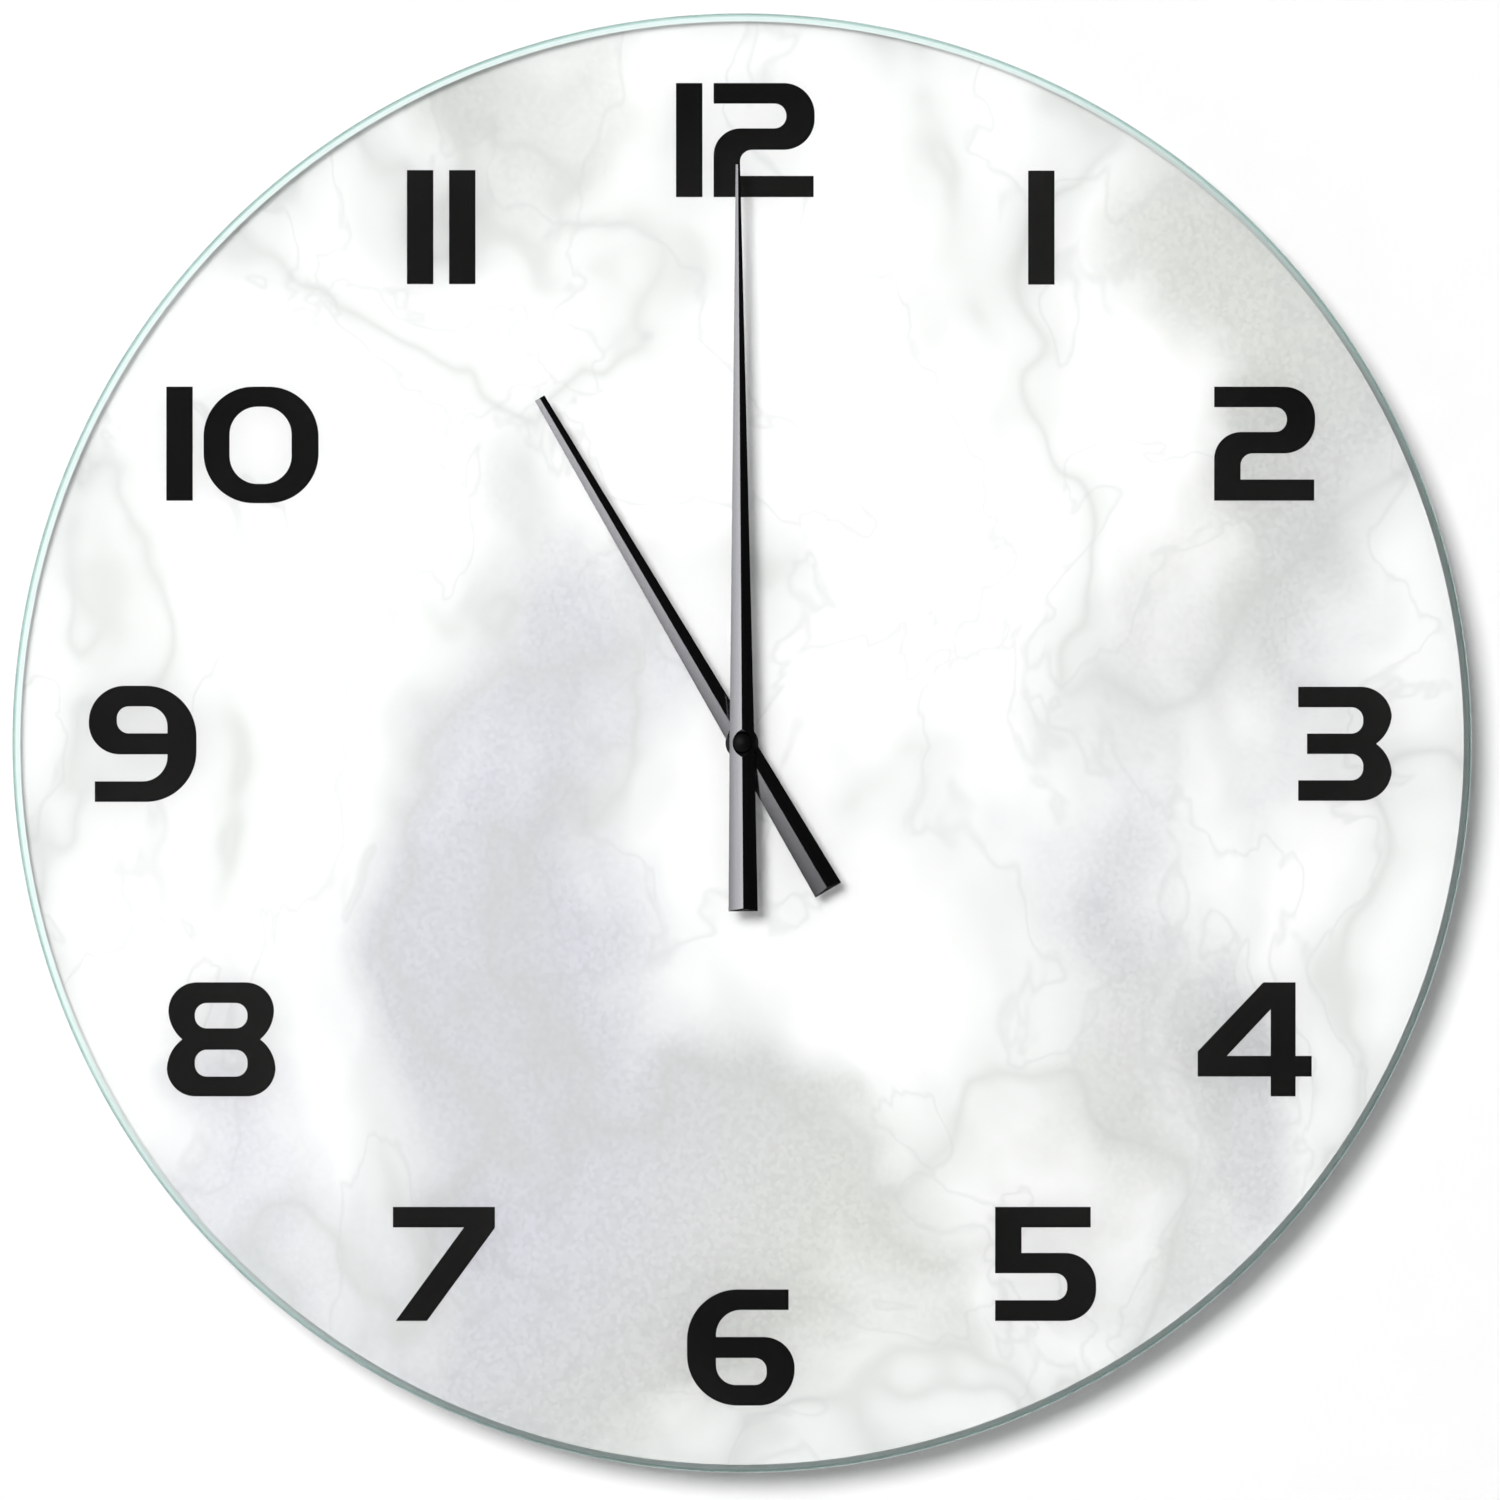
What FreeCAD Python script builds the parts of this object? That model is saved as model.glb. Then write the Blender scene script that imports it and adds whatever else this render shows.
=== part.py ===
import FreeCAD, Part
import math
import os

os.makedirs("parts", exist_ok=True)

# Frameless round glass wall clock with a battery quartz movement.
# Everything is drawn on a bench frame and turned upright when it is written:
# x runs to the right, y to 12 o'clock, z from the wall plane towards the viewer.

# Glass face and the printed film behind it
glass_diameter = 600.0
glass_thickness = 4.0
glass_arris = 0.8
shaft_hole_diameter = 10.0
film_thickness = 0.2
film_margin = 2.9

# Battery, which sets the width and the depth of the case
battery_length = 50.5
battery_diameter = 14.5
battery_nub_length = 1.0
battery_nub_diameter = 5.5
battery_chamfer = 0.5
battery_recess = 0.3
battery_side_gap = 0.4
battery_roof_gap = 0.3
battery_roof_wall = 0.9

# Battery contacts, bent from spring strip
contact_thickness = 0.4
contact_gap = 0.3
contact_pad_width = 10.0
contact_pad_depth = 10.0
contact_strip_width = 3.0
contact_strip_depth = 2.0
contact_slot_width = 0.8
leaf_rise = 1.7
leaf_thickness = 0.3
leaf_width = 5.0
leaf_crest_width = 2.5

# Movement case
case_wall = 1.2
case_corner_radius = 3.0
case_chamfer = 0.6
front_wall = 1.5
divider_wall = 1.0
shaft_to_divider = 10.5
shaft_to_top_wall = 26.8
platform_diameter = 20.0
platform_rise = 0.8
cover_thickness = 1.5
cover_corner_radius = 1.0
cover_gap = 0.1
cut_overrun = 1.0

# Hanging eye moulded on the case
hanger_width = 26.0
hanger_height = 12.5
hanger_thickness = 3.0
hanger_corner_radius = 4.0
hanger_slot_width = 14.0
hanger_slot_height = 6.5
hanger_slot_rise = 2.6
hanger_tooth_depth = 0.7
hanger_tooth_count = 5
gusset_depth = 5.0
gusset_height = 6.0
gusset_thickness = 1.6

# Threaded post, gasket, washer and nut that clamp the glass
post_diameter = 8.0
post_clearance = 0.1
gasket_thickness = 1.0
washer_diameter = 13.0
washer_thickness = 0.6
nut_across_flats = 11.0
nut_height = 2.2
nut_chamfer = 0.5
nut_chamfer_angle = 30.0
nut_sides = 6
post_stand_out = 0.4

# Cover screws
screw_diameter = 2.0
screw_length = 6.0
screw_head_diameter = 4.0
screw_head_height = 0.7
screw_head_recess = 0.1
screw_slot_length = 2.7
screw_slot_width = 0.5
screw_slot_depth = 0.35
screw_clearance = 0.15
screw_boss_diameter = 4.2
screw_inset = 3.0
screw_side_rise = 3.0

# Running fits and gaps between pieces that move apart
running_clearance = 0.05
fit_clearance = 0.02
axial_play = 0.3

# Gear train: number of teeth
rotor_teeth = 8
intermediate_teeth = 48
intermediate_pinion_teeth = 8
seconds_teeth = 40
seconds_pinion_teeth = 8
third_teeth = 60
third_pinion_teeth = 8
centre_teeth = 64
cannon_teeth = 15
minute_wheel_teeth = 45
minute_pinion_teeth = 12
hour_teeth = 48
knob_teeth = 15

# Gear train: distance of each arbor from the one that it meshes with, and its direction
intermediate_distance = 7.2
rotor_distance = 7.0
third_distance = 8.5
minute_distance = 9.0
intermediate_direction = 0.0
rotor_direction = 20.0
third_direction = 45.0
minute_direction = 135.0
knob_direction = 160.0

# Tooth form, in shares of the module for heights and of the pitch for widths
wheel_tooth_shares = (0.90, 1.20, 0.52, 0.20)
pinion_tooth_shares = (0.85, 1.20, 0.46, 0.18)

# Gear train: thicknesses
wheel_thickness = 0.8
plate_thickness = 0.8
boss_rise = 1.0
boss_wall = 1.1
hour_hub_rise = 0.4
pinion_overhang = 0.25
pivot_diameter = 0.8
pivot_depth = 0.7
pivot_end_gap = 0.35
arbor_diameter = 1.5
seconds_arbor_diameter = 1.0
seconds_arbor_reach = 4.5

# Pipes, clutch and setting knob
minute_pipe_diameter = 3.5
hour_pipe_diameter = 5.0
hour_hub_diameter = 6.4
pipe_foot_diameter = 5.2
pipe_foot_thickness = 0.25
clutch_diameter = 8.6
clutch_thickness = 0.15
knob_diameter = 7.8
knob_height = 1.5
knob_flange_diameter = 10.0
knob_flange_thickness = 0.6
knob_gap = 0.3
knob_shaft_diameter = 2.4
knob_pivot_diameter = 1.2
knob_notch_depth = 0.4
knob_notch_count = 16
knob_slot_length = 5.2
knob_slot_width = 0.8
knob_slot_depth = 0.4

# Plate that carries the inner pivots, and its posts
plate_left = -20.5
plate_right = 16.8
plate_bottom = -9.2
plate_top = 15.6
plate_corner_radius = 2.0
plate_post_diameter = 2.4
plate_post_inset = 1.4
plate_pin_diameter = 1.4

# Stepping motor
magnet_diameter = 5.8
magnet_height = 1.5
magnet_gap = 0.35
stator_ring_width = 1.75
stator_thickness = 0.8
stator_leg_width = 3.4
stator_neck = 1.3
stator_coil_gap = 0.3
coil_length = 18.5
coil_diameter = 7.0
coil_core_width = 3.0
coil_core_end = 2.6
coil_tube_diameter = 4.0
coil_flange_diameter = 7.4
coil_flange_thickness = 0.8
coil_side_gap = 0.75
coil_core_gap = 0.1
motor_pin_diameter = 1.2
motor_post_diameter = 2.6

# Circuit board and what is soldered to it
board_width = 6.0
board_thickness = 0.8
board_standoff = 0.8
board_below_top_wall = 5.0
board_post_diameter = 2.4
board_post_spread = 18.0
chip_diameter = 4.6
chip_height = 1.1
chip_place = 7.0
crystal_diameter = 2.1
crystal_length = 6.2
crystal_place = -9.0
crystal_lead_length = 2.0
crystal_lead_diameter = 0.4
crystal_lead_spread = 0.7

# Hands, folded lengthwise from sheet, and their bushings
hand_sheet = 0.5
hand_gap = 0.6
fold_share = 0.32
minute_hand_reach = 237.0
minute_hand_tail = 69.0
minute_tip_width = 1.8
minute_hub_width = 10.2
minute_tail_width = 12.0
minute_hand_angle = 0.4
minute_eye_floor_diameter = 6.6
minute_eye_rim_diameter = 11.4
hour_hand_reach = 164.0
hour_hand_tail = 70.0
hour_tip_width = 4.5
hour_hub_width = 9.9
hour_tail_width = 12.2
hour_hand_angle = 30.4
hour_eye_floor_diameter = 12.6
hour_eye_rim_diameter = 15.2
hour_eye_disc_diameter = 13.6
hour_bushing_diameter = 6.4
hour_bushing_flange_diameter = 8.0
hour_bushing_flange = 0.6
minute_bushing_diameter = 4.8
minute_bushing_flange_diameter = 6.2
minute_bushing_flange = 0.5

# Cap nut that holds the minute hand
cap_diameter = 7.4
cap_skirt = 1.0
cap_dome = 1.5
cap_roof = 0.8
stud_diameter = 2.8
stud_length = 1.6

# Places that follow from the sizes above
centre = (0.0, 0.0)
case_depth = battery_recess + battery_diameter + battery_roof_gap + battery_roof_wall
leaf_space = contact_thickness + leaf_rise + contact_gap
bay_length = battery_length + contact_thickness + contact_gap + leaf_space
bay_half = bay_length / 2
bay_height = battery_diameter + 2 * battery_side_gap
bay_top = -(shaft_to_divider + divider_wall)
bay_bottom = bay_top - bay_height
case_top = shaft_to_top_wall + case_wall
case_bottom = bay_bottom - case_wall
front_inner = case_depth - front_wall
battery_y = (bay_top + bay_bottom) / 2
battery_z = battery_recess + battery_diameter / 2
battery_left = -bay_half + leaf_space

gear_levels = 6
level_gap = (
    front_inner - cover_thickness - boss_rise - hour_hub_rise
    - 2 * axial_play - gear_levels * wheel_thickness - plate_thickness
) / gear_levels
boss_top = cover_thickness + boss_rise
pivot_low = boss_top - boss_rise
intermediate_z = boss_top + axial_play
seconds_z = intermediate_z + wheel_thickness + level_gap
plate_z = seconds_z + wheel_thickness + level_gap
plate_front = plate_z + plate_thickness
third_z = plate_front + level_gap
centre_z = third_z + wheel_thickness + level_gap
minute_z = centre_z + wheel_thickness + level_gap
hour_z = minute_z + wheel_thickness + level_gap
hour_hub_z = hour_z + wheel_thickness
front_pivot = front_inner + pivot_depth - running_clearance

film_z = case_depth + platform_rise + gasket_thickness
glass_z = film_z + film_thickness
washer_z = glass_z + glass_thickness
nut_z = washer_z + washer_thickness
post_top = nut_z + nut_height + post_stand_out
hour_hand_z = post_top + hand_gap
hour_ridge_z = hour_hand_z + hand_sheet + fold_share * hour_tail_width / 2
minute_hand_z = hour_ridge_z + hand_gap
hour_pipe_top = hour_hand_z + hand_sheet + hour_bushing_flange
minute_pipe_top = minute_hand_z + hand_sheet + minute_bushing_flange

intermediate_module = 2 * intermediate_distance / (seconds_teeth + intermediate_pinion_teeth)
rotor_module = 2 * rotor_distance / (intermediate_teeth + rotor_teeth)
seconds_module = 2 * third_distance / (third_teeth + seconds_pinion_teeth)
centre_module = 2 * third_distance / (centre_teeth + third_pinion_teeth)
cannon_module = 2 * minute_distance / (minute_wheel_teeth + cannon_teeth)
hour_module = 2 * minute_distance / (hour_teeth + minute_pinion_teeth)
knob_distance = cannon_module * (minute_wheel_teeth + knob_teeth) / 2


def away(start, distance, direction):
    turn = math.radians(direction)
    return (start[0] + distance * math.cos(turn), start[1] + distance * math.sin(turn))


intermediate_at = away(centre, intermediate_distance, intermediate_direction)
rotor_at = away(intermediate_at, rotor_distance, rotor_direction)
third_at = away(centre, third_distance, third_direction)
minute_at = away(centre, minute_distance, minute_direction)
knob_at = away(minute_at, knob_distance, knob_direction)
coil_x = (
    rotor_at[0] + magnet_diameter / 2 + magnet_gap + stator_neck + stator_coil_gap
    + coil_flange_diameter / 2
)
chamber_half = max(bay_half, coil_x + coil_flange_diameter / 2 + coil_side_gap)
case_half = chamber_half + case_wall
coil_bottom = rotor_at[1] - coil_length / 2
coil_top = rotor_at[1] + coil_length / 2
stator_z = seconds_z + (wheel_thickness - stator_thickness) / 2
core_z = stator_z + stator_thickness
board_top = shaft_to_top_wall - board_below_top_wall
board_bottom = board_top - board_width
board_y = (board_top + board_bottom) / 2
board_z = cover_thickness + board_standoff
board_front = board_z + board_thickness
screw_places = (
    (-chamber_half + screw_inset, shaft_to_top_wall - screw_inset + screw_clearance),
    (chamber_half - screw_inset, shaft_to_top_wall - screw_inset + screw_clearance),
    (-chamber_half + screw_inset, -shaft_to_divider + screw_side_rise),
)
plate_posts = [
    (x, y)
    for x in (plate_left + plate_post_inset, plate_right - plate_post_inset)
    for y in (plate_bottom + plate_post_inset, plate_top - plate_post_inset)
]
motor_ends = (
    (coil_x, coil_bottom - coil_core_end / 2),
    (coil_x, coil_top + coil_core_end / 2),
)


def vec(x, y, z):
    return FreeCAD.Vector(x, y, z)


def fuse(*shapes):
    return shapes[0].multiFuse(list(shapes[1:])).removeSplitter()


def box(x0, x1, y0, y1, z0, z1):
    return Part.makeBox(x1 - x0, y1 - y0, z1 - z0, vec(x0, y0, z0))


def disc(at, diameter, z0, z1):
    return Part.makeCylinder(diameter / 2, z1 - z0, vec(at[0], at[1], z0))


def ring(at, outer, inner, z0, z1):
    return disc(at, outer, z0, z1).cut(disc(at, inner, z0 - cut_overrun, z1 + cut_overrun))


def prism(points, z0, z1):
    wire = Part.makePolygon([vec(x, y, z0) for x, y in list(points) + [points[0]]])
    return Part.Face(wire).extrude(vec(0, 0, z1 - z0))


def turned(at, points):
    wire = Part.makePolygon([vec(r, 0, z) for r, z in list(points) + [points[0]]])
    body = Part.Face(wire).revolve(vec(0, 0, 0), vec(0, 0, 1), 360)
    body.translate(vec(at[0], at[1], 0))
    return body


def rounded_plate(x0, x1, y0, y1, z0, z1, radius):
    corners = ((x1, y1, 0), (x0, y1, 90), (x0, y0, 180), (x1, y0, 270))
    edges = []
    ends = []
    for x, y, start in corners:
        cx = x - radius if x == x1 else x + radius
        cy = y - radius if y == y1 else y + radius
        arc = Part.makeCircle(radius, vec(cx, cy, z0), vec(0, 0, 1), start, start + 90)
        edges.append(arc)
        ends.append((arc.Vertexes[0].Point, arc.Vertexes[-1].Point))
    for i in range(len(ends)):
        edges.append(Part.makeLine(ends[i - 1][1], ends[i][0]))
    wire = Part.Wire(Part.__sortEdges__(edges))
    return Part.Face(wire).extrude(vec(0, 0, z1 - z0))


def toothed(at, teeth, module, phase, z0, z1, shares):
    addendum_share, dedendum_share, root_share, tip_share = shares
    tip = module * (teeth / 2 + addendum_share)
    root = module * (teeth / 2 - dedendum_share)
    pitch = 2 * math.pi / teeth
    flank = ((-root_share, root), (-tip_share, tip), (tip_share, tip), (root_share, root))
    points = []
    for i in range(teeth):
        for share, radius in flank:
            turn = phase + pitch * (i + share / 2)
            points.append((at[0] + radius * math.cos(turn), at[1] + radius * math.sin(turn)))
    return prism(points, z0, z1)


def mesh_phase(start, start_teeth, start_phase, end, end_teeth):
    # A tooth of one gear on the line of centres faces a gap of the other
    line = math.atan2(end[1] - start[1], end[0] - start[0])
    return line + math.pi + (start_teeth * (line - start_phase) - math.pi) / end_teeth


def wheel_teeth(at, teeth, module, phase, z0):
    return toothed(at, teeth, module, phase, z0, z0 + wheel_thickness, wheel_tooth_shares)


def pinion_teeth(at, teeth, module, phase, z0, z1):
    return toothed(at, teeth, module, phase, z0, z1, pinion_tooth_shares)


nodes = {}

# Phases of the gears, passed along each train from one wheel to the next
seconds_phase = 0.0
third_phase = mesh_phase(centre, seconds_pinion_teeth, seconds_phase, third_at, third_teeth)
centre_phase = mesh_phase(third_at, third_pinion_teeth, third_phase, centre, centre_teeth)
intermediate_phase = mesh_phase(
    centre, seconds_teeth, seconds_phase, intermediate_at, intermediate_pinion_teeth
)
rotor_phase = mesh_phase(
    intermediate_at, intermediate_teeth, intermediate_phase, rotor_at, rotor_teeth
)
cannon_phase = 0.0
minute_phase = mesh_phase(centre, cannon_teeth, cannon_phase, minute_at, minute_wheel_teeth)
hour_phase = mesh_phase(minute_at, minute_pinion_teeth, minute_phase, centre, hour_teeth)
knob_phase = mesh_phase(minute_at, minute_wheel_teeth, minute_phase, knob_at, knob_teeth)


def make_glass():
    radius = glass_diameter / 2
    hole = shaft_hole_diameter / 2
    front = glass_z + glass_thickness
    return turned(centre, (
        (hole, glass_z),
        (radius - glass_arris, glass_z),
        (radius, glass_z + glass_arris),
        (radius, front - glass_arris),
        (radius - glass_arris, front),
        (hole, front),
    ))


nodes["glass_face"] = make_glass()
nodes["printed_film"] = ring(
    centre, glass_diameter - 2 * film_margin, shaft_hole_diameter, film_z, glass_z
)


def make_hanger():
    top = case_top + hanger_height
    half = hanger_width / 2
    tab = rounded_plate(
        -half, half, case_top - case_corner_radius - hanger_corner_radius, top,
        0, hanger_thickness, hanger_corner_radius
    )
    tab = tab.common(box(-half, half, case_top - case_wall, top, 0, hanger_thickness))
    low = case_top + hanger_slot_rise
    high = low + hanger_slot_height
    slot_half = hanger_slot_width / 2
    step = hanger_slot_width / hanger_tooth_count
    outline = [(slot_half, low), (slot_half, high)]
    for i in range(hanger_tooth_count):
        right = slot_half - i * step
        outline.append((right - step / 2, high - hanger_tooth_depth))
        outline.append((right - step, high))
    outline.append((-slot_half, low))
    slot = prism(outline, -cut_overrun, hanger_thickness + cut_overrun)
    return tab.cut(slot)


def make_gusset(x0):
    # A rib between the hanger's tab and the top wall of the case
    start = case_top - case_wall / 2
    points = (
        vec(x0, start, hanger_thickness),
        vec(x0, case_top + gusset_height, hanger_thickness),
        vec(x0, start, hanger_thickness + gusset_depth),
        vec(x0, start, hanger_thickness),
    )
    return Part.Face(Part.makePolygon(points)).extrude(vec(gusset_thickness, 0, 0))


def make_front_case():
    block = rounded_plate(
        -case_half, case_half, case_bottom, case_top, 0, case_depth, case_corner_radius
    )
    front_edges = [e for e in block.Edges if e.BoundBox.ZMin > case_depth - case_chamfer]
    block = block.makeChamfer(case_chamfer, front_edges)
    chamber = box(
        -chamber_half, chamber_half, -shaft_to_divider, shaft_to_top_wall,
        -cut_overrun, front_inner
    )
    bay = box(-bay_half, bay_half, bay_bottom, bay_top, -cut_overrun, battery_z)
    cradle = Part.makeCylinder(
        battery_diameter / 2 + battery_roof_gap, bay_length,
        vec(-bay_half, battery_y, battery_z), vec(1, 0, 0)
    )
    shell = block.cut(chamber).cut(bay).cut(cradle)
    for side in (-1, 1):
        outer = side * bay_half
        inner = side * (bay_half - contact_slot_width)
        shell = shell.cut(box(
            min(inner, outer), max(inner, outer), bay_top - cut_overrun,
            -shaft_to_divider + cut_overrun, -cut_overrun, battery_z
        ))
    hanger_half = hanger_width / 2
    shell = fuse(
        shell,
        make_hanger(),
        make_gusset(-hanger_half),
        make_gusset(hanger_half - gusset_thickness),
        disc(centre, platform_diameter, case_depth - front_wall / 2, case_depth + platform_rise),
        disc(centre, post_diameter, case_depth - front_wall / 2, post_top),
    )
    bosses = [disc(at, screw_boss_diameter, cover_thickness, case_depth - front_wall / 2)
              for at in screw_places]
    shell = fuse(shell, *bosses)
    for at in screw_places:
        depth = screw_head_recess + screw_head_height + screw_length + axial_play
        shell = shell.cut(disc(at, screw_diameter + 2 * fit_clearance, 0, depth))
    for at, size in ((third_at, pivot_diameter), (minute_at, pivot_diameter),
                     (knob_at, knob_pivot_diameter)):
        bore = size + 2 * running_clearance
        shell = shell.cut(disc(at, bore, front_inner - cut_overrun, front_inner + pivot_depth))
    for at in plate_posts:
        bore = plate_pin_diameter + 2 * fit_clearance
        shell = shell.cut(disc(at, bore, front_inner - cut_overrun, front_inner + pivot_depth))
    bore = hour_pipe_diameter + 2 * running_clearance
    return shell.cut(disc(centre, bore, front_inner - cut_overrun, post_top + cut_overrun))


nodes["front_case"] = make_front_case()


def make_back_cover():
    plate = rounded_plate(
        -chamber_half + cover_gap, chamber_half - cover_gap,
        -shaft_to_divider + cover_gap, shaft_to_top_wall - cover_gap,
        0, cover_thickness, cover_corner_radius
    )
    knob_hole = knob_diameter + 2 * knob_gap
    plate = plate.cut(disc(knob_at, knob_hole, -cut_overrun, cover_thickness + cut_overrun))
    inside = cover_thickness / 2
    raised = [
        disc(at, size + 2 * boss_wall, inside, boss_top)
        for at, size in ((centre, seconds_arbor_diameter), (intermediate_at, pivot_diameter),
                         (rotor_at, pivot_diameter))
    ]
    for at in motor_ends:
        raised.append(disc(at, motor_post_diameter, inside, stator_z))
        raised.append(disc(at, motor_pin_diameter, inside, core_z + stator_thickness))
    for x in (-board_post_spread, board_post_spread):
        raised.append(disc((x, board_y), board_post_diameter, inside, board_z))
    cover = fuse(plate, *raised)
    for at, size in ((centre, seconds_arbor_diameter), (intermediate_at, pivot_diameter),
                     (rotor_at, pivot_diameter)):
        bore = size + 2 * running_clearance
        cover = cover.cut(disc(at, bore, pivot_low - pivot_end_gap, boss_top + cut_overrun))
    for at in screw_places:
        head = screw_head_diameter + 2 * screw_clearance
        seat = screw_head_recess + screw_head_height
        cover = cover.cut(disc(at, head, -cut_overrun, seat))
        hole = screw_diameter + 2 * screw_clearance
        cover = cover.cut(disc(at, hole, -cut_overrun, cover_thickness + cut_overrun))
    return cover


nodes["back_cover"] = make_back_cover()


def make_screw(at):
    seat = screw_head_recess + screw_head_height
    head = disc(at, screw_head_diameter, screw_head_recess, seat)
    for wide, tall in ((screw_slot_length, screw_slot_width),
                       (screw_slot_width, screw_slot_length)):
        head = head.cut(box(
            at[0] - wide / 2, at[0] + wide / 2, at[1] - tall / 2, at[1] + tall / 2,
            screw_head_recess - cut_overrun, screw_head_recess + screw_slot_depth
        ))
    return fuse(head, disc(at, screw_diameter, seat, seat + screw_length))


nodes["cover_screws"] = Part.makeCompound([make_screw(at) for at in screw_places])


def make_train_plate():
    # The plate stands on the front wall on four posts, whose pins sit in holes there
    plate = rounded_plate(
        plate_left, plate_right, plate_bottom, plate_top, plate_z, plate_front,
        plate_corner_radius
    )
    posts = [disc(at, plate_post_diameter, plate_z, front_inner) for at in plate_posts]
    pins = [disc(at, plate_pin_diameter, plate_z, front_pivot) for at in plate_posts]
    plate = fuse(plate, *posts, *pins)
    pivot_bore = pivot_diameter + 2 * running_clearance
    low = plate_z - cut_overrun
    high = plate_front + cut_overrun
    for at in (intermediate_at, rotor_at, third_at, minute_at):
        plate = plate.cut(disc(at, pivot_bore, low, high))
    passing = 2 * axial_play + seconds_module * (seconds_pinion_teeth + 2)
    plate = plate.cut(disc(centre, passing, low, high))
    passing = 2 * axial_play + cannon_module * (knob_teeth + 2)
    return plate.cut(disc(knob_at, passing, low, high))


nodes["train_plate"] = make_train_plate()
nodes["rubber_gasket"] = ring(
    centre, platform_diameter, post_diameter + 2 * post_clearance,
    case_depth + platform_rise, film_z
)
nodes["post_washer"] = ring(
    centre, washer_diameter, post_diameter + 2 * post_clearance, washer_z, nut_z
)


def make_post_nut():
    corner = nut_across_flats / 2 / math.cos(math.pi / nut_sides)
    hexagon = [away(centre, corner, 360 * i / nut_sides) for i in range(nut_sides)]
    top = nut_z + nut_height
    slope = math.tan(math.radians(nut_chamfer_angle))
    envelope = turned(centre, (
        (0, nut_z),
        (corner + cut_overrun, nut_z),
        (corner + cut_overrun, top - nut_chamfer - cut_overrun * slope),
        (nut_across_flats / 2, top),
        (0, top),
    ))
    nut = prism(hexagon, nut_z, top).common(envelope)
    bore = post_diameter + 2 * fit_clearance
    return nut.cut(disc(centre, bore, nut_z - cut_overrun, top + cut_overrun))


nodes["post_nut"] = make_post_nut()


def make_contact(side):
    # A pad at the end of the bay, a neck through the divider, and a strip up the side wall
    pad_low = battery_z - contact_pad_depth / 2
    pad_half = contact_pad_width / 2
    strip_high = contact_strip_depth + contact_strip_width
    foot_y = -shaft_to_divider + contact_thickness

    def plate(reach, width, y0, y1, z0, z1):
        near = side * (reach - width)
        far = side * reach
        return box(min(near, far), max(near, far), y0, y1, z0, z1)

    return fuse(
        plate(bay_half, contact_thickness, battery_y - pad_half, battery_y + pad_half,
              pad_low, pad_low + contact_pad_depth),
        plate(bay_half, contact_thickness, battery_y, foot_y, contact_strip_depth, strip_high),
        plate(chamber_half, chamber_half - bay_half + contact_thickness, -shaft_to_divider,
              foot_y, contact_strip_depth, strip_high),
        plate(chamber_half, contact_thickness, -shaft_to_divider, board_top,
              contact_strip_depth, strip_high),
    )


def make_leaf():
    # The sprung tongue that presses on the flat end of the battery
    root = -bay_half + contact_thickness
    crest = root + leaf_rise
    half = contact_pad_width / 2
    crest_half = leaf_crest_width / 2
    points = (
        (root - contact_thickness / 2, battery_y + half),
        (root, battery_y + half),
        (crest, battery_y + crest_half),
        (crest, battery_y - crest_half),
        (root + 2 * leaf_thickness, battery_y - half),
        (root + leaf_thickness, battery_y - half),
        (crest - leaf_thickness, battery_y - crest_half),
        (crest - leaf_thickness, battery_y + crest_half),
        (root - contact_thickness / 2, battery_y + half - 2 * leaf_thickness),
    )
    return prism(points, battery_z - leaf_width / 2, battery_z + leaf_width / 2)


nodes["positive_contact"] = make_contact(1)
nodes["negative_contact"] = fuse(make_contact(-1), make_leaf())


def make_battery():
    radius = battery_diameter / 2
    nub = battery_nub_diameter / 2
    body = battery_length - battery_nub_length
    cell = turned(centre, (
        (0, 0),
        (radius - battery_chamfer, 0),
        (radius, battery_chamfer),
        (radius, body - battery_chamfer),
        (radius - battery_chamfer, body),
        (nub, body),
        (nub, battery_length),
        (0, battery_length),
    ))
    cell.rotate(vec(0, 0, 0), vec(0, 1, 0), 90)
    cell.translate(vec(battery_left, battery_y, battery_z))
    return cell


nodes["battery"] = make_battery()

board_half = chamber_half - contact_thickness
nodes["circuit_board"] = box(
    -board_half, board_half, board_bottom, board_top, board_z, board_front
)


def make_chip():
    radius = chip_diameter / 2
    side = Part.makeLine(vec(0, 0, 0), vec(0, 0, chip_height))
    foot = Part.makeLine(vec(0, 0, 0), vec(radius, 0, 0))
    bend = vec(radius * math.cos(math.pi / 4), 0, chip_height * math.sin(math.pi / 4))
    dome = Part.Arc(vec(radius, 0, 0), bend, vec(0, 0, chip_height)).toShape()
    face = Part.Face(Part.Wire(Part.__sortEdges__([side, foot, dome])))
    blob = face.revolve(vec(0, 0, 0), vec(0, 0, 1), 360)
    blob.translate(vec(chip_place, board_y, board_front))
    return blob


nodes["control_chip"] = make_chip()


def make_crystal():
    middle = board_front + crystal_diameter / 2
    start = crystal_place - crystal_length / 2
    along = vec(1, 0, 0)
    can = Part.makeCylinder(
        crystal_diameter / 2, crystal_length, vec(start, board_y, middle), along
    )
    leads = [
        Part.makeCylinder(
            crystal_lead_diameter / 2, crystal_lead_length,
            vec(start - crystal_lead_length, board_y + side * crystal_lead_spread / 2, middle),
            along
        )
        for side in (-1, 1)
    ]
    return fuse(can, *leads)


nodes["quartz_crystal"] = make_crystal()


def along_coil(diameter, y0, y1):
    middle = core_z + stator_thickness / 2
    return Part.makeCylinder(diameter / 2, y1 - y0, vec(coil_x, y0, middle), vec(0, 1, 0))


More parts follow.
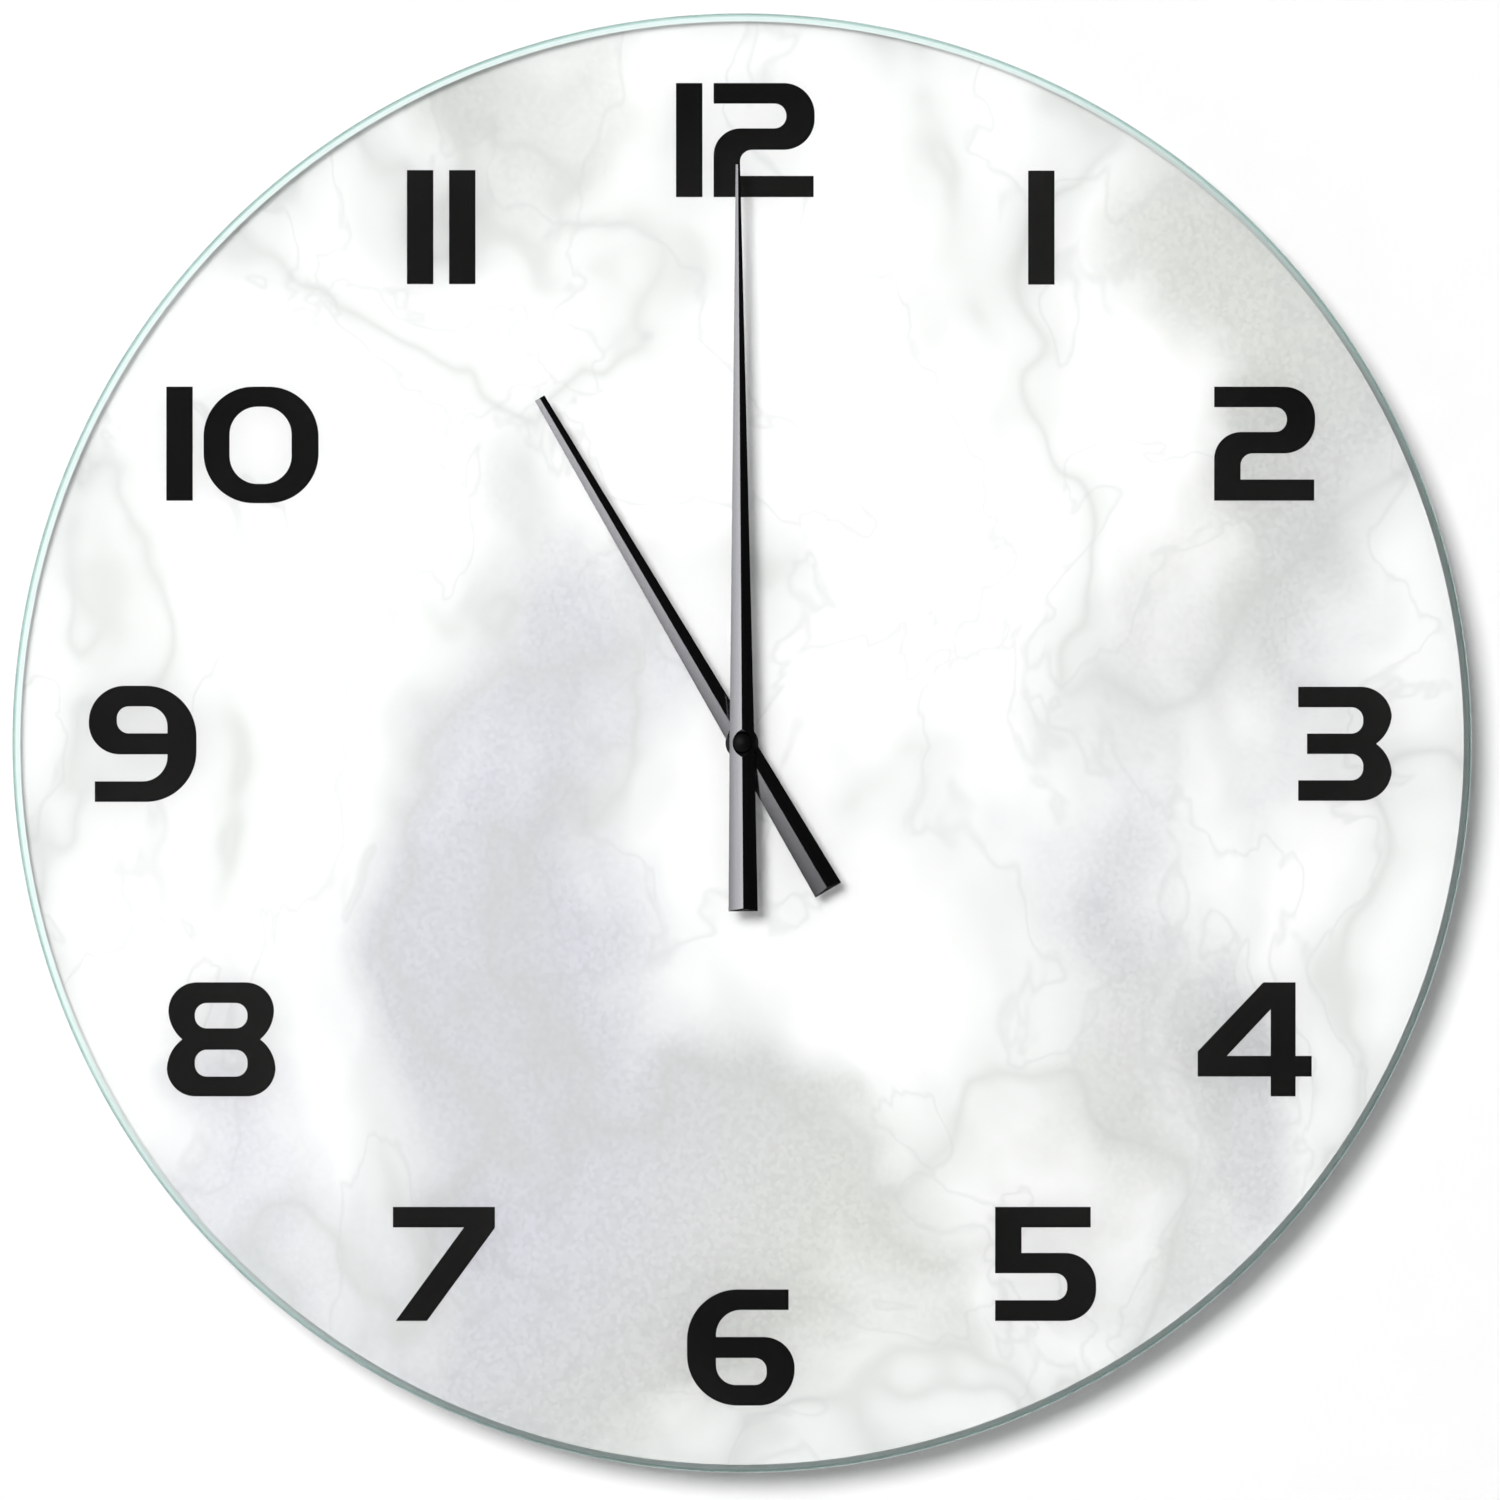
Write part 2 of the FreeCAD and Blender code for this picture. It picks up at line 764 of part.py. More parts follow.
def make_bobbin():
    tube = along_coil(coil_tube_diameter, coil_bottom, coil_top)
    low = along_coil(coil_flange_diameter, coil_bottom, coil_bottom + coil_flange_thickness)
    high = along_coil(coil_flange_diameter, coil_top - coil_flange_thickness, coil_top)
    half = coil_core_width / 2 + coil_core_gap
    slot = box(
        coil_x - half, coil_x + half, coil_bottom - cut_overrun, coil_top + cut_overrun,
        core_z - coil_core_gap, core_z + stator_thickness + coil_core_gap
    )
    return fuse(tube, low, high).cut(slot)


nodes["coil_bobbin"] = make_bobbin()
nodes["coil_winding"] = along_coil(
    coil_diameter, coil_bottom + coil_flange_thickness, coil_top - coil_flange_thickness
).cut(along_coil(coil_tube_diameter, coil_bottom, coil_top))


def pin_holes(shape):
    bore = motor_pin_diameter + 2 * fit_clearance
    for at in motor_ends:
        shape = shape.cut(disc(at, bore, stator_z - cut_overrun, core_z + level_gap + cut_overrun))
    return shape


nodes["coil_core"] = pin_holes(box(
    coil_x - coil_core_width / 2, coil_x + coil_core_width / 2,
    coil_bottom - coil_core_end, coil_top + coil_core_end,
    core_z, core_z + stator_thickness
))


def make_stator():
    # A ring round the rotor, a leg beside the coil, and a foot under each end of the core
    hole = magnet_diameter + 2 * magnet_gap
    outer = hole + 2 * stator_ring_width
    leg_right = coil_x - coil_flange_diameter / 2 - stator_coil_gap
    leg_left = leg_right - stator_leg_width
    low_end = coil_bottom - coil_core_end
    high_end = coil_top + coil_core_end
    foot_right = coil_x + coil_core_width / 2
    body = fuse(
        disc(rotor_at, outer, stator_z, core_z),
        box(leg_left, leg_right, low_end, high_end, stator_z, core_z),
        box(leg_left, foot_right, low_end, coil_bottom - coil_core_gap, stator_z, core_z),
        box(leg_left, foot_right, coil_top + coil_core_gap, high_end, stator_z, core_z),
    )
    body = body.cut(disc(rotor_at, hole, stator_z - cut_overrun, core_z + cut_overrun))
    return pin_holes(body)


nodes["stator"] = make_stator()

# Going train, from the motor to the centre wheel
pivot_high = plate_front - fit_clearance
pinion_low = intermediate_z
pinion_high = intermediate_z + wheel_thickness + pinion_overhang
magnet_z = plate_z - axial_play - magnet_height
nodes["rotor_pinion"] = fuse(
    pinion_teeth(rotor_at, rotor_teeth, rotor_module, rotor_phase, pinion_low, pinion_high),
    disc(rotor_at, arbor_diameter, pinion_high - pinion_overhang, magnet_z),
    disc(rotor_at, pivot_diameter, pivot_low, pivot_high),
)
nodes["rotor_magnet"] = ring(
    rotor_at, magnet_diameter, pivot_diameter, magnet_z, magnet_z + magnet_height
)
nodes["intermediate_wheel"] = fuse(
    wheel_teeth(intermediate_at, intermediate_teeth, rotor_module, intermediate_phase,
                intermediate_z),
    pinion_teeth(intermediate_at, intermediate_pinion_teeth, intermediate_module,
                 intermediate_phase, intermediate_z + wheel_thickness / 2,
                 seconds_z + wheel_thickness + pinion_overhang),
    disc(intermediate_at, pivot_diameter, pivot_low, pivot_high),
)
seconds_pinion_top = third_z + wheel_thickness + pinion_overhang
nodes["seconds_wheel"] = fuse(
    wheel_teeth(centre, seconds_teeth, intermediate_module, seconds_phase, seconds_z),
    disc(centre, arbor_diameter, seconds_z, third_z),
    pinion_teeth(centre, seconds_pinion_teeth, seconds_module, seconds_phase,
                 third_z - pinion_overhang, seconds_pinion_top),
    disc(centre, seconds_arbor_diameter, pivot_low, centre_z + seconds_arbor_reach),
)
nodes["third_wheel"] = fuse(
    wheel_teeth(third_at, third_teeth, seconds_module, third_phase, third_z),
    pinion_teeth(third_at, third_pinion_teeth, centre_module, third_phase,
                 third_z + wheel_thickness / 2, centre_z + wheel_thickness + pinion_overhang),
    disc(third_at, arbor_diameter, plate_front + axial_play, third_z + wheel_thickness / 2),
    disc(third_at, pivot_diameter, plate_z, front_pivot),
)
nodes["centre_wheel"] = wheel_teeth(
    centre, centre_teeth, centre_module, centre_phase, centre_z
).cut(disc(
    centre, minute_pipe_diameter + 2 * running_clearance,
    centre_z - cut_overrun, centre_z + wheel_thickness + cut_overrun
))


# Motion work: the minute pipe, the minute wheel, the hour wheel and the setting knob
def make_minute_pipe():
    foot = centre_z - running_clearance
    cannon_low = minute_z - pinion_overhang
    cannon_high = minute_z + wheel_thickness + pinion_overhang
    pipe = fuse(
        disc(centre, pipe_foot_diameter, foot - pipe_foot_thickness, foot),
        disc(centre, minute_pipe_diameter, foot - pipe_foot_thickness, minute_pipe_top),
        disc(centre, stud_diameter, minute_pipe_top, minute_pipe_top + stud_length),
        pinion_teeth(centre, cannon_teeth, cannon_module, cannon_phase, cannon_low, cannon_high),
    )
    bore = seconds_arbor_diameter + 2 * running_clearance
    depth = centre_z + seconds_arbor_reach + axial_play
    return pipe.cut(disc(centre, bore, foot - pipe_foot_thickness - cut_overrun, depth))


nodes["minute_pipe"] = make_minute_pipe()


def make_clutch_spring():
    # A dished washer that presses the centre wheel against the foot of the pipe
    inner = minute_pipe_diameter / 2 + fit_clearance
    outer = clutch_diameter / 2
    top = minute_z - pinion_overhang
    low = centre_z + wheel_thickness + running_clearance
    return turned(centre, (
        (inner, top),
        (inner, top - clutch_thickness),
        (outer, low),
        (outer, low + clutch_thickness),
        (inner + running_clearance, top),
    ))


nodes["clutch_spring"] = make_clutch_spring()
nodes["minute_wheel"] = fuse(
    wheel_teeth(minute_at, minute_wheel_teeth, cannon_module, minute_phase, minute_z),
    pinion_teeth(minute_at, minute_pinion_teeth, hour_module, minute_phase,
                 minute_z + wheel_thickness / 2, hour_z + wheel_thickness + pinion_overhang),
    disc(minute_at, arbor_diameter, plate_front + axial_play, minute_z),
    disc(minute_at, pivot_diameter, plate_z, front_pivot),
)


def make_hour_wheel():
    wheel = fuse(
        wheel_teeth(centre, hour_teeth, hour_module, hour_phase, hour_z),
        disc(centre, hour_hub_diameter, hour_z, hour_hub_z + hour_hub_rise),
        disc(centre, hour_pipe_diameter, hour_z, hour_pipe_top),
    )
    bore = minute_pipe_diameter + 2 * running_clearance
    return wheel.cut(disc(centre, bore, hour_z - cut_overrun, hour_pipe_top + cut_overrun))


nodes["hour_wheel"] = make_hour_wheel()


def make_setting_knob():
    grip = disc(knob_at, knob_diameter, knob_gap, knob_gap + knob_height)
    for i in range(knob_notch_count):
        notch = away(knob_at, knob_diameter / 2, i * 360 / knob_notch_count)
        grip = grip.cut(disc(notch, 2 * knob_notch_depth, 0, knob_gap + knob_height))
    grip = grip.cut(box(
        knob_at[0] - knob_slot_length / 2, knob_at[0] + knob_slot_length / 2,
        knob_at[1] - knob_slot_width / 2, knob_at[1] + knob_slot_width / 2,
        0, knob_gap + knob_slot_depth
    ))
    flange_z = cover_thickness + knob_gap
    teeth_low = minute_z - pinion_overhang
    return fuse(
        grip,
        disc(knob_at, knob_flange_diameter, flange_z, flange_z + knob_flange_thickness),
        disc(knob_at, knob_shaft_diameter, flange_z, teeth_low),
        pinion_teeth(knob_at, knob_teeth, cannon_module, knob_phase,
                     teeth_low, minute_z + wheel_thickness + pinion_overhang),
        disc(knob_at, knob_pivot_diameter, teeth_low, front_pivot),
    )


nodes["setting_knob"] = make_setting_knob()


def fold_section(y, width, z, filled):
    half = width / 2
    rise = fold_share * half
    top = [(half, z + hand_sheet), (0, z + hand_sheet + rise), (-half, z + hand_sheet)]
    under = [(-half, z), (half, z)] if filled else [(-half, z), (0, z + rise), (half, z)]
    points = [vec(x, y, height) for x, height in top + under]
    return Part.makePolygon(points + [points[0]])


def fold_body(stations, z, filled):
    # Two straight stretches, tail to hub and hub to tip, so that each facet is flat
    halves = [
        Part.makeLoft([fold_section(y, w, z, filled) for y, w in pair], True, True)
        for pair in (stations[:2], stations[1:])
    ]
    return halves[0].fuse(halves[1])


def eye_cone(floor, rim, rise, z, height):
    slope = (rim - floor) / 2 / rise
    return Part.makeCone(floor / 2, floor / 2 + slope * height, height, vec(0, 0, z))


def make_hand(reach, tail, widths, z, floor, rim, bore, angle):
    tip_width, hub_width, tail_width = widths
    stations = ((-tail, tail_width), (0, hub_width), (reach, tip_width))
    rise = fold_share * hub_width / 2
    height = fold_share * tail_width / 2 + hand_sheet + cut_overrun
    dish = eye_cone(floor, rim, rise, z, height)
    hollow = eye_cone(floor, rim, rise, z + hand_sheet, height)
    sheet = fold_body(stations, z, False).cut(dish)
    wall = dish.cut(hollow).common(fold_body(stations, z, True))
    hand = fuse(sheet, wall)
    hand = hand.cut(disc(centre, bore, z - cut_overrun, z + height))
    hand.rotate(vec(0, 0, 0), vec(0, 0, 1), angle)
    return hand


def make_bushing(inner, sleeve, flange, low, seat, top):
    body = fuse(disc(centre, sleeve, low, seat), disc(centre, flange, seat, top))
    return body.cut(disc(centre, inner, low - cut_overrun, top + cut_overrun))


hour_bore = hour_bushing_diameter + 2 * fit_clearance
hour_blade = make_hand(
    hour_hand_reach, hour_hand_tail, (hour_tip_width, hour_hub_width, hour_tail_width),
    hour_hand_z, hour_eye_floor_diameter, hour_eye_rim_diameter, hour_bore, hour_hand_angle
)
hour_eye = ring(
    centre, hour_eye_disc_diameter, hour_bore, hour_hand_z, hour_hand_z + hand_sheet
)
nodes["hour_hand"] = fuse(hour_blade, hour_eye)
nodes["hour_hand_bushing"] = make_bushing(
    hour_pipe_diameter + 2 * fit_clearance, hour_bushing_diameter, hour_bushing_flange_diameter,
    hour_hand_z - hand_gap / 2, hour_hand_z + hand_sheet, hour_pipe_top
)
nodes["minute_hand"] = make_hand(
    minute_hand_reach, minute_hand_tail, (minute_tip_width, minute_hub_width, minute_tail_width),
    minute_hand_z, minute_eye_floor_diameter, minute_eye_rim_diameter,
    minute_bushing_diameter + 2 * fit_clearance, minute_hand_angle
)
nodes["minute_hand_bushing"] = make_bushing(
    minute_pipe_diameter + 2 * fit_clearance, minute_bushing_diameter,
    minute_bushing_flange_diameter, minute_hand_z, minute_hand_z + hand_sheet, minute_pipe_top
)


def make_cap_nut():
    radius = cap_diameter / 2
    low = minute_pipe_top
    shoulder = low + cap_skirt
    top = shoulder + cap_dome
    ball = (radius ** 2 + cap_dome ** 2) / (2 * cap_dome)
    turn = math.asin(radius / ball) / 2
    bend = vec(ball * math.sin(turn), 0, top - ball + ball * math.cos(turn))
    edges = [
        Part.makeLine(vec(0, 0, low), vec(radius, 0, low)),
        Part.makeLine(vec(radius, 0, low), vec(radius, 0, shoulder)),
        Part.Arc(vec(radius, 0, shoulder), bend, vec(0, 0, top)).toShape(),
        Part.makeLine(vec(0, 0, top), vec(0, 0, low)),
    ]
    body = Part.Face(Part.Wire(edges)).revolve(vec(0, 0, 0), vec(0, 0, 1), 360)
    bore = stud_diameter + 2 * fit_clearance
    return body.cut(disc(centre, bore, low - cut_overrun, top - cap_roof))


nodes["cap_nut"] = make_cap_nut()

# Each piece is turned upright: up is +Z and the face looks along -Y
for name, shape in nodes.items():
    if not shape.isValid():
        raise ValueError(name + " is not a valid solid")
    upright = shape.copy()
    upright.rotate(vec(0, 0, 0), vec(1, 0, 0), 90)
    upright.exportStep("parts/" + name + ".step")
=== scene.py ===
import math

import bmesh
import bpy
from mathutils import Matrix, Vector


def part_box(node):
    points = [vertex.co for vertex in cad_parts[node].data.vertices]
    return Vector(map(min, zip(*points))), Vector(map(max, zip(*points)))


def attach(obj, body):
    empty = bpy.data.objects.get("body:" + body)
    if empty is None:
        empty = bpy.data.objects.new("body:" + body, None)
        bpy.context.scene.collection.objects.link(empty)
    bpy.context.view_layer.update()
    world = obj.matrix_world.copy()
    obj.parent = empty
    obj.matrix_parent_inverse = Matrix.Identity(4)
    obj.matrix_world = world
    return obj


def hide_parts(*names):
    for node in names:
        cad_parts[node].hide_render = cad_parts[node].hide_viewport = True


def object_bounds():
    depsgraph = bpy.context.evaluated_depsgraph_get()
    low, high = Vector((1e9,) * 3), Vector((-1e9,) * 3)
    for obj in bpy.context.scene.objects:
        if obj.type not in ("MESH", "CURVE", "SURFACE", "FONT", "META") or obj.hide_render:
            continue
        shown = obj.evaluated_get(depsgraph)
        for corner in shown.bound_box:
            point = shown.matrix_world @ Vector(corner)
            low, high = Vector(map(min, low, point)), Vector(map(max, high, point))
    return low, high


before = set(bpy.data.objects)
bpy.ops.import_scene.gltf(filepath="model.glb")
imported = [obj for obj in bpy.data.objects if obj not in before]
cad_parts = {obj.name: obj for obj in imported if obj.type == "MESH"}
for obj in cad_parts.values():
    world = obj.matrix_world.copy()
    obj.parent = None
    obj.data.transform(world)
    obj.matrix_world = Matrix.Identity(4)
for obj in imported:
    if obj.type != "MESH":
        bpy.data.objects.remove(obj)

cad_low, cad_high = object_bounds()

# The photograph's frame and its scale at the disc
IMAGE_SIZE_PX = 1500
DISC_DIAMETER_PX = 1460
DISC_CENTRE_PX = (742, 743)

# Places that follow from the frame, in metres
glass_low, glass_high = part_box("glass_face")
film_low, film_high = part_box("printed_film")
GLASS_RADIUS = (glass_high.x - glass_low.x) / 2
FILM_RADIUS = (film_high.x - film_low.x) / 2
GLASS_FRONT = glass_low.y
GLASS_BACK = glass_high.y
FILM_BACK = film_high.y
METRES_PER_PX = 2 * GLASS_RADIUS / DISC_DIAMETER_PX

# Glass disc
SHAFT_HOLE_RADIUS = 0.005
GLASS_ARRIS = 0.0008
ARRIS_ROUND = 0.00015
EDGE_SHADE = 0.8
RIM_SEGMENTS = 360

# Vertices closer than this are one
WELD_DISTANCE = 0.000001

# The film keeps behind the glass, and the printed numerals lie between the two
INK_DEPTH = 0.00003
INK_GAP = 0.00002

# The hands: their lean to the left in degrees, how far the slanted cut at the tail shortens the
# ridge, the plate that closes the tail, the roundness of the facets and their brushing
MINUTE_LEAN = 0.4
HOUR_LEAN = 30.4
TAIL_SLANT = 0.0013
TAIL_PLATE = 0.0003
TAIL_PLATE_SHARE = 0.97
TAIL_PLATE_SETBACK = 0.00002
HAND_FACE, HAND_CUT = range(2)
CUT_ALIGNED = 0.999
HAND_CROWN = 10.0
BRUSH_DEPTH = 0.0000005
HAND_IOR = 1.77
HAND_ROUGH = (0.17, 0.25)

# Edges sharper than these angles, in degrees, shade flat
GLASS_SHARP = 20
PRINT_SHARP = 30
HAND_SHARP = 12

# The glass: how it mirrors
GLASS_IOR = 1.5
GLASS_GLOSS = 0.02

# Grain of the plain finishes: how much of it is fine, and how much coarser the rest is
FINE_SHARE = 0.6
BROAD_RATIO = 12

# The printed stone: colours, the scales of its pattern and how strongly each part shows
PRINT_WHITE = (0.915, 0.915, 0.912)
CLOUD_WARM = (0.69, 0.695, 0.67)
CLOUD_COOL = (0.7, 0.695, 0.745)
VEIN_GREY = (0.62, 0.63, 0.615)
HAIR_GREY = (0.6, 0.61, 0.61)
SWIRL_SCALE = 3.4
SWIRL_REACH = 0.34
TINT_SCALE = 3.0
CLOUD_SCALE = 4.2
CLOUD_SHOWS = 0.9
VEIN_SCALE = 5.2
VEIN_SHOWS = 0.6
HAIR_SCALE = 13.0
HAIR_SHOWS = 0.28
GRAIN_SCALE = 520.0
SPECKLE_SCALE = 900.0
SPECKLE_SHOWS = 0.04
BACK_VEIL = 0.6

# Bare steel at the two ends of the cell's jacket
CELL_LOW_END = 0.0006
CELL_HIGH_END = 0.0016

# Numerals, in pixels of the photograph, each drawn from the top left of its own box
DIGIT_HEIGHT = 114.0
BOWL_HEIGHT = 116.1
STEM = 26.4
TOP_BAR = 20.5
OUTER_ROUND = 31.0
EIGHT_ROUND = 28.5
BOWL_ROUND = 50.5
INNER_ROUND = 12.0
SHOULDER_ROUND = 27.0
WAIST_ROUND = 38.0
DIGIT_GAP = {10: 10.8, 11: 15.7, 12: 11.2}

# Where the photograph shows the top left of each numeral's box, and the middle they go round.
# The numerals lie behind the glass, so the camera sees them a little smaller than the front.
NUMERAL_CORNER_PX = {
    1: (1028, 171), 2: (1214, 387), 3: (1298, 687), 4: (1197.5, 982.5),
    5: (995, 1207), 6: (687, 1289.5), 7: (393, 1207), 8: (167, 982.5),
    9: (89, 686), 10: (166.5, 387), 11: (407, 170.5), 12: (676, 83.5),
}
DIAL_MIDDLE_PX = (742.0, 743.25)
BEHIND_GLASS = 1.002


def link(obj):
    bpy.context.scene.collection.objects.link(obj)
    return obj


def mesh_object(name, mesh):
    return link(bpy.data.objects.new(name, mesh))


class Nodes:
    """A node tree with short calls for adding nodes and joining them."""

    def __init__(self, tree):
        self.tree = tree
        self.tree.nodes.clear()

    def add(self, kind, **inputs):
        node = self.tree.nodes.new(kind)
        for name, value in inputs.items():
            self.set(node, name.replace("_", " "), value)
        return node

    def set(self, node, name, value):
        socket = node.inputs[name]
        if isinstance(value, bpy.types.NodeSocket):
            self.tree.links.new(value, socket)
        else:
            socket.default_value = value

    def math(self, operation, first, second=0.0, clamp=False):
        node = self.tree.nodes.new("ShaderNodeMath")
        node.operation = operation
        node.use_clamp = clamp
        for socket, value in zip(node.inputs, (first, second)):
            if isinstance(value, bpy.types.NodeSocket):
                self.tree.links.new(value, socket)
            else:
                socket.default_value = value
        return node.outputs[0]

    def mapped(self, scale=(1, 1, 1), turn=(0, 0, 0), shift=(0, 0, 0)):
        coords = self.tree.nodes.new("ShaderNodeTexCoord")
        return self.add(
            "ShaderNodeMapping", Vector=coords.outputs["Object"], Scale=scale, Rotation=turn,
            Location=shift
        ).outputs[0]

    def noise(self, vector, scale, detail=3.0, roughness=0.5, distortion=0.0):
        return self.add(
            "ShaderNodeTexNoise", Vector=vector, Scale=scale, Detail=detail, Roughness=roughness,
            Distortion=distortion
        ).outputs["Fac"]

    def ramp(self, factor, *stops):
        node = self.add("ShaderNodeValToRGB", Fac=factor)
        elements = node.color_ramp.elements
        while len(elements) < len(stops):
            elements.new(0.5)
        for element, (place, value) in zip(elements, stops):
            element.position = place
            element.color = value if len(value) == 4 else (*value, 1)
        return node.outputs["Color"]

    def blend(self, factor, first, second, kind="MIX"):
        node = self.tree.nodes.new("ShaderNodeMix")
        node.data_type = "RGBA"
        node.blend_type = kind
        for name, value in (("Factor_Float", factor), ("A_Color", first), ("B_Color", second)):
            socket = next(s for s in node.inputs if s.identifier == name)
            if isinstance(value, bpy.types.NodeSocket):
                self.tree.links.new(value, socket)
            else:
                socket.default_value = value if not isinstance(value, tuple) else (*value, 1)[:4]
        return next(s for s in node.outputs if s.identifier == "Result_Color")

    def bump(self, height, distance, strength=1.0):
        return self.add(
            "ShaderNodeBump", Height=height, Distance=distance, Strength=strength
        ).outputs[0]

    def mix(self, factor, first, second):
        node = self.tree.nodes.new("ShaderNodeMixShader")
        for socket, value in zip(node.inputs, (factor, first, second)):
            if isinstance(value, bpy.types.NodeSocket):
                self.tree.links.new(value, socket)
            else:
                socket.default_value = value
        return node.outputs[0]

    def finish(self, shader, kind="ShaderNodeOutputMaterial"):
        self.tree.links.new(shader, self.tree.nodes.new(kind).inputs["Surface"])


def new_material(name):
    made = bpy.data.materials.new(name)
    made.use_nodes = True
    return made, Nodes(made.node_tree)


def grey(value):
    return (value, value, value)


def surface(name, dark, light, rough, grain, metallic=0.0, bump=0.0, stretch=(1, 1, 1), **more):
    """A finish whose colour, roughness and bump follow one grain, from dark to light."""
    made, nodes = new_material(name)
    fine = nodes.noise(nodes.mapped(stretch), grain, detail=4.0)
    broad = nodes.noise(nodes.mapped(), grain / BROAD_RATIO, detail=2.0)
    mixed = nodes.math(
        "ADD", nodes.math("MULTIPLY", fine, FINE_SHARE),
        nodes.math("MULTIPLY", broad, 1 - FINE_SHARE)
    )
    colour = nodes.ramp(mixed, (0.3, dark), (0.7, light))
    low, high = rough
    spread = nodes.add("ShaderNodeMapRange", Value=mixed, To_Min=low, To_Max=high)
    shader = nodes.add(
        "ShaderNodeBsdfPrincipled", Base_Color=colour, Roughness=spread.outputs[0],
        Metallic=metallic, **more
    )
    if bump:
        nodes.set(shader, "Normal", nodes.bump(fine, bump))
    nodes.finish(shader.outputs[0])
    return made


def turned_metal(name, dark, light, rough, centre_x, centre_z):
    """Fine rings left by a lathe, round an axis along Y."""
    made, nodes = new_material(name)
    place = nodes.mapped(shift=(-centre_x, 0, -centre_z))
    parts = nodes.add("ShaderNodeSeparateXYZ", Vector=place)
    square = [nodes.math("MULTIPLY", parts.outputs[i], parts.outputs[i]) for i in (0, 2)]
    radius = nodes.math("SQRT", nodes.math("ADD", *square))
    along = nodes.add("ShaderNodeCombineXYZ", X=radius, Y=parts.outputs[1])
    lines = nodes.noise(along.outputs[0], 9000.0, detail=2.0)
    stains = nodes.noise(place, 500.0)
    colour = nodes.ramp(nodes.math("ADD", nodes.math("MULTIPLY", lines, 0.5),
                                   nodes.math("MULTIPLY", stains, 0.5)), (0.3, dark), (0.7, light))
    low, high = rough
    spread = nodes.add("ShaderNodeMapRange", Value=stains, To_Min=low, To_Max=high)
    shader = nodes.add(
        "ShaderNodeBsdfPrincipled", Base_Color=colour, Roughness=spread.outputs[0], Metallic=1.0,
        Normal=nodes.bump(lines, 0.00002)
    )
    nodes.finish(shader.outputs[0])
    return made


def glass_material(name, tint, shine, shade=0.0):
    """A tinted sheet with a clear reflection by Fresnel. Shade is how much it dims its shadow."""
    made, nodes = new_material(name)
    ripple = nodes.noise(nodes.mapped(), 6.0, detail=1.0)
    colour = nodes.ramp(ripple, (0.35, tint), (0.65, tuple(0.99 * c for c in tint)))
    if shade:
        shadow = nodes.tree.nodes.new("ShaderNodeLightPath").outputs["Is Shadow Ray"]
        dark = tuple((1 - shade) * c for c in tint)
        colour = nodes.blend(shadow, colour, dark)
    clear = nodes.add("ShaderNodeBsdfTransparent", Color=colour).outputs[0]
    if not shine:
        nodes.finish(clear)
        return made
    gloss = nodes.add("ShaderNodeBsdfGlossy", Color=(1, 1, 1, 1), Roughness=GLASS_GLOSS).outputs[0]
    fresnel = nodes.add("ShaderNodeFresnel", IOR=GLASS_IOR).outputs[0]
    nodes.finish(nodes.mix(fresnel, clear, gloss))
    return made


def print_material(name, veil):
    """Pale stone: broad grey clouds and soft veins on white, under a milky veil from 0 to 1."""
    made, nodes = new_material(name)
    place = nodes.mapped()
    swirl = nodes.tree.nodes.new("ShaderNodeTexNoise")
    nodes.set(swirl, "Vector", place)
    nodes.set(swirl, "Scale", SWIRL_SCALE)
    nodes.set(swirl, "Detail", 4.0)
    bend = nodes.add("ShaderNodeVectorMath")
    bend.operation = "MULTIPLY_ADD"
    nodes.tree.links.new(swirl.outputs["Color"], bend.inputs[0])
    bend.inputs[1].default_value = (SWIRL_REACH, SWIRL_REACH, SWIRL_REACH)
    nodes.tree.links.new(nodes.mapped(scale=(1.0, 1.0, 0.7), turn=(0, 0.6, 0)), bend.inputs[2])
    warped = bend.outputs[0]

    clouds = nodes.ramp(
        nodes.noise(warped, CLOUD_SCALE, detail=4.0), (0.48, grey(0.0)), (0.58, grey(1.0))
    )
    ridge = nodes.math(
        "ABSOLUTE", nodes.math("SUBTRACT", nodes.noise(warped, VEIN_SCALE, detail=3.0), 0.5)
    )
    veins = nodes.ramp(ridge, (0.0, grey(1.0)), (0.016, grey(0.45)), (0.06, grey(0.0)))
    hair_ridge = nodes.math(
        "ABSOLUTE", nodes.math("SUBTRACT", nodes.noise(warped, HAIR_SCALE, detail=4.0), 0.5)
    )
    hairs = nodes.ramp(hair_ridge, (0.0, grey(1.0)), (0.014, grey(0.0)))
    speckle = nodes.noise(nodes.mapped(), SPECKLE_SCALE, detail=2.0)

    cloud_grey = nodes.ramp(
        nodes.noise(nodes.mapped(shift=(0.7, 0, 0.2)), TINT_SCALE, detail=1.0),
        (0.4, CLOUD_WARM), (0.62, CLOUD_COOL)
    )
    grains = nodes.add("ShaderNodeTexVoronoi", Vector=place, Scale=GRAIN_SCALE).outputs["Color"]
    grains = nodes.ramp(grains, (0.2, grey(0.9)), (0.8, grey(1.0)))
    cloud_grey = nodes.blend(1.0, cloud_grey, grains, "MULTIPLY")
    colour = nodes.blend(nodes.math("MULTIPLY", clouds, CLOUD_SHOWS), PRINT_WHITE, cloud_grey)
    colour = nodes.blend(nodes.math("MULTIPLY", veins, VEIN_SHOWS), colour, VEIN_GREY)
    colour = nodes.blend(nodes.math("MULTIPLY", hairs, HAIR_SHOWS), colour, HAIR_GREY)
    colour = nodes.blend(
        SPECKLE_SHOWS, colour, nodes.ramp(speckle, (0.3, grey(0.6)), (0.7, grey(1.0))),
        "MULTIPLY"
    )
    if veil:
        colour = nodes.blend(veil, colour, grey(0.8))
    shader = nodes.add(
        "ShaderNodeBsdfPrincipled", Base_Color=colour, Roughness=0.55, Specular_IOR_Level=0.0
    )
    nodes.finish(shader.outputs[0])
    return made


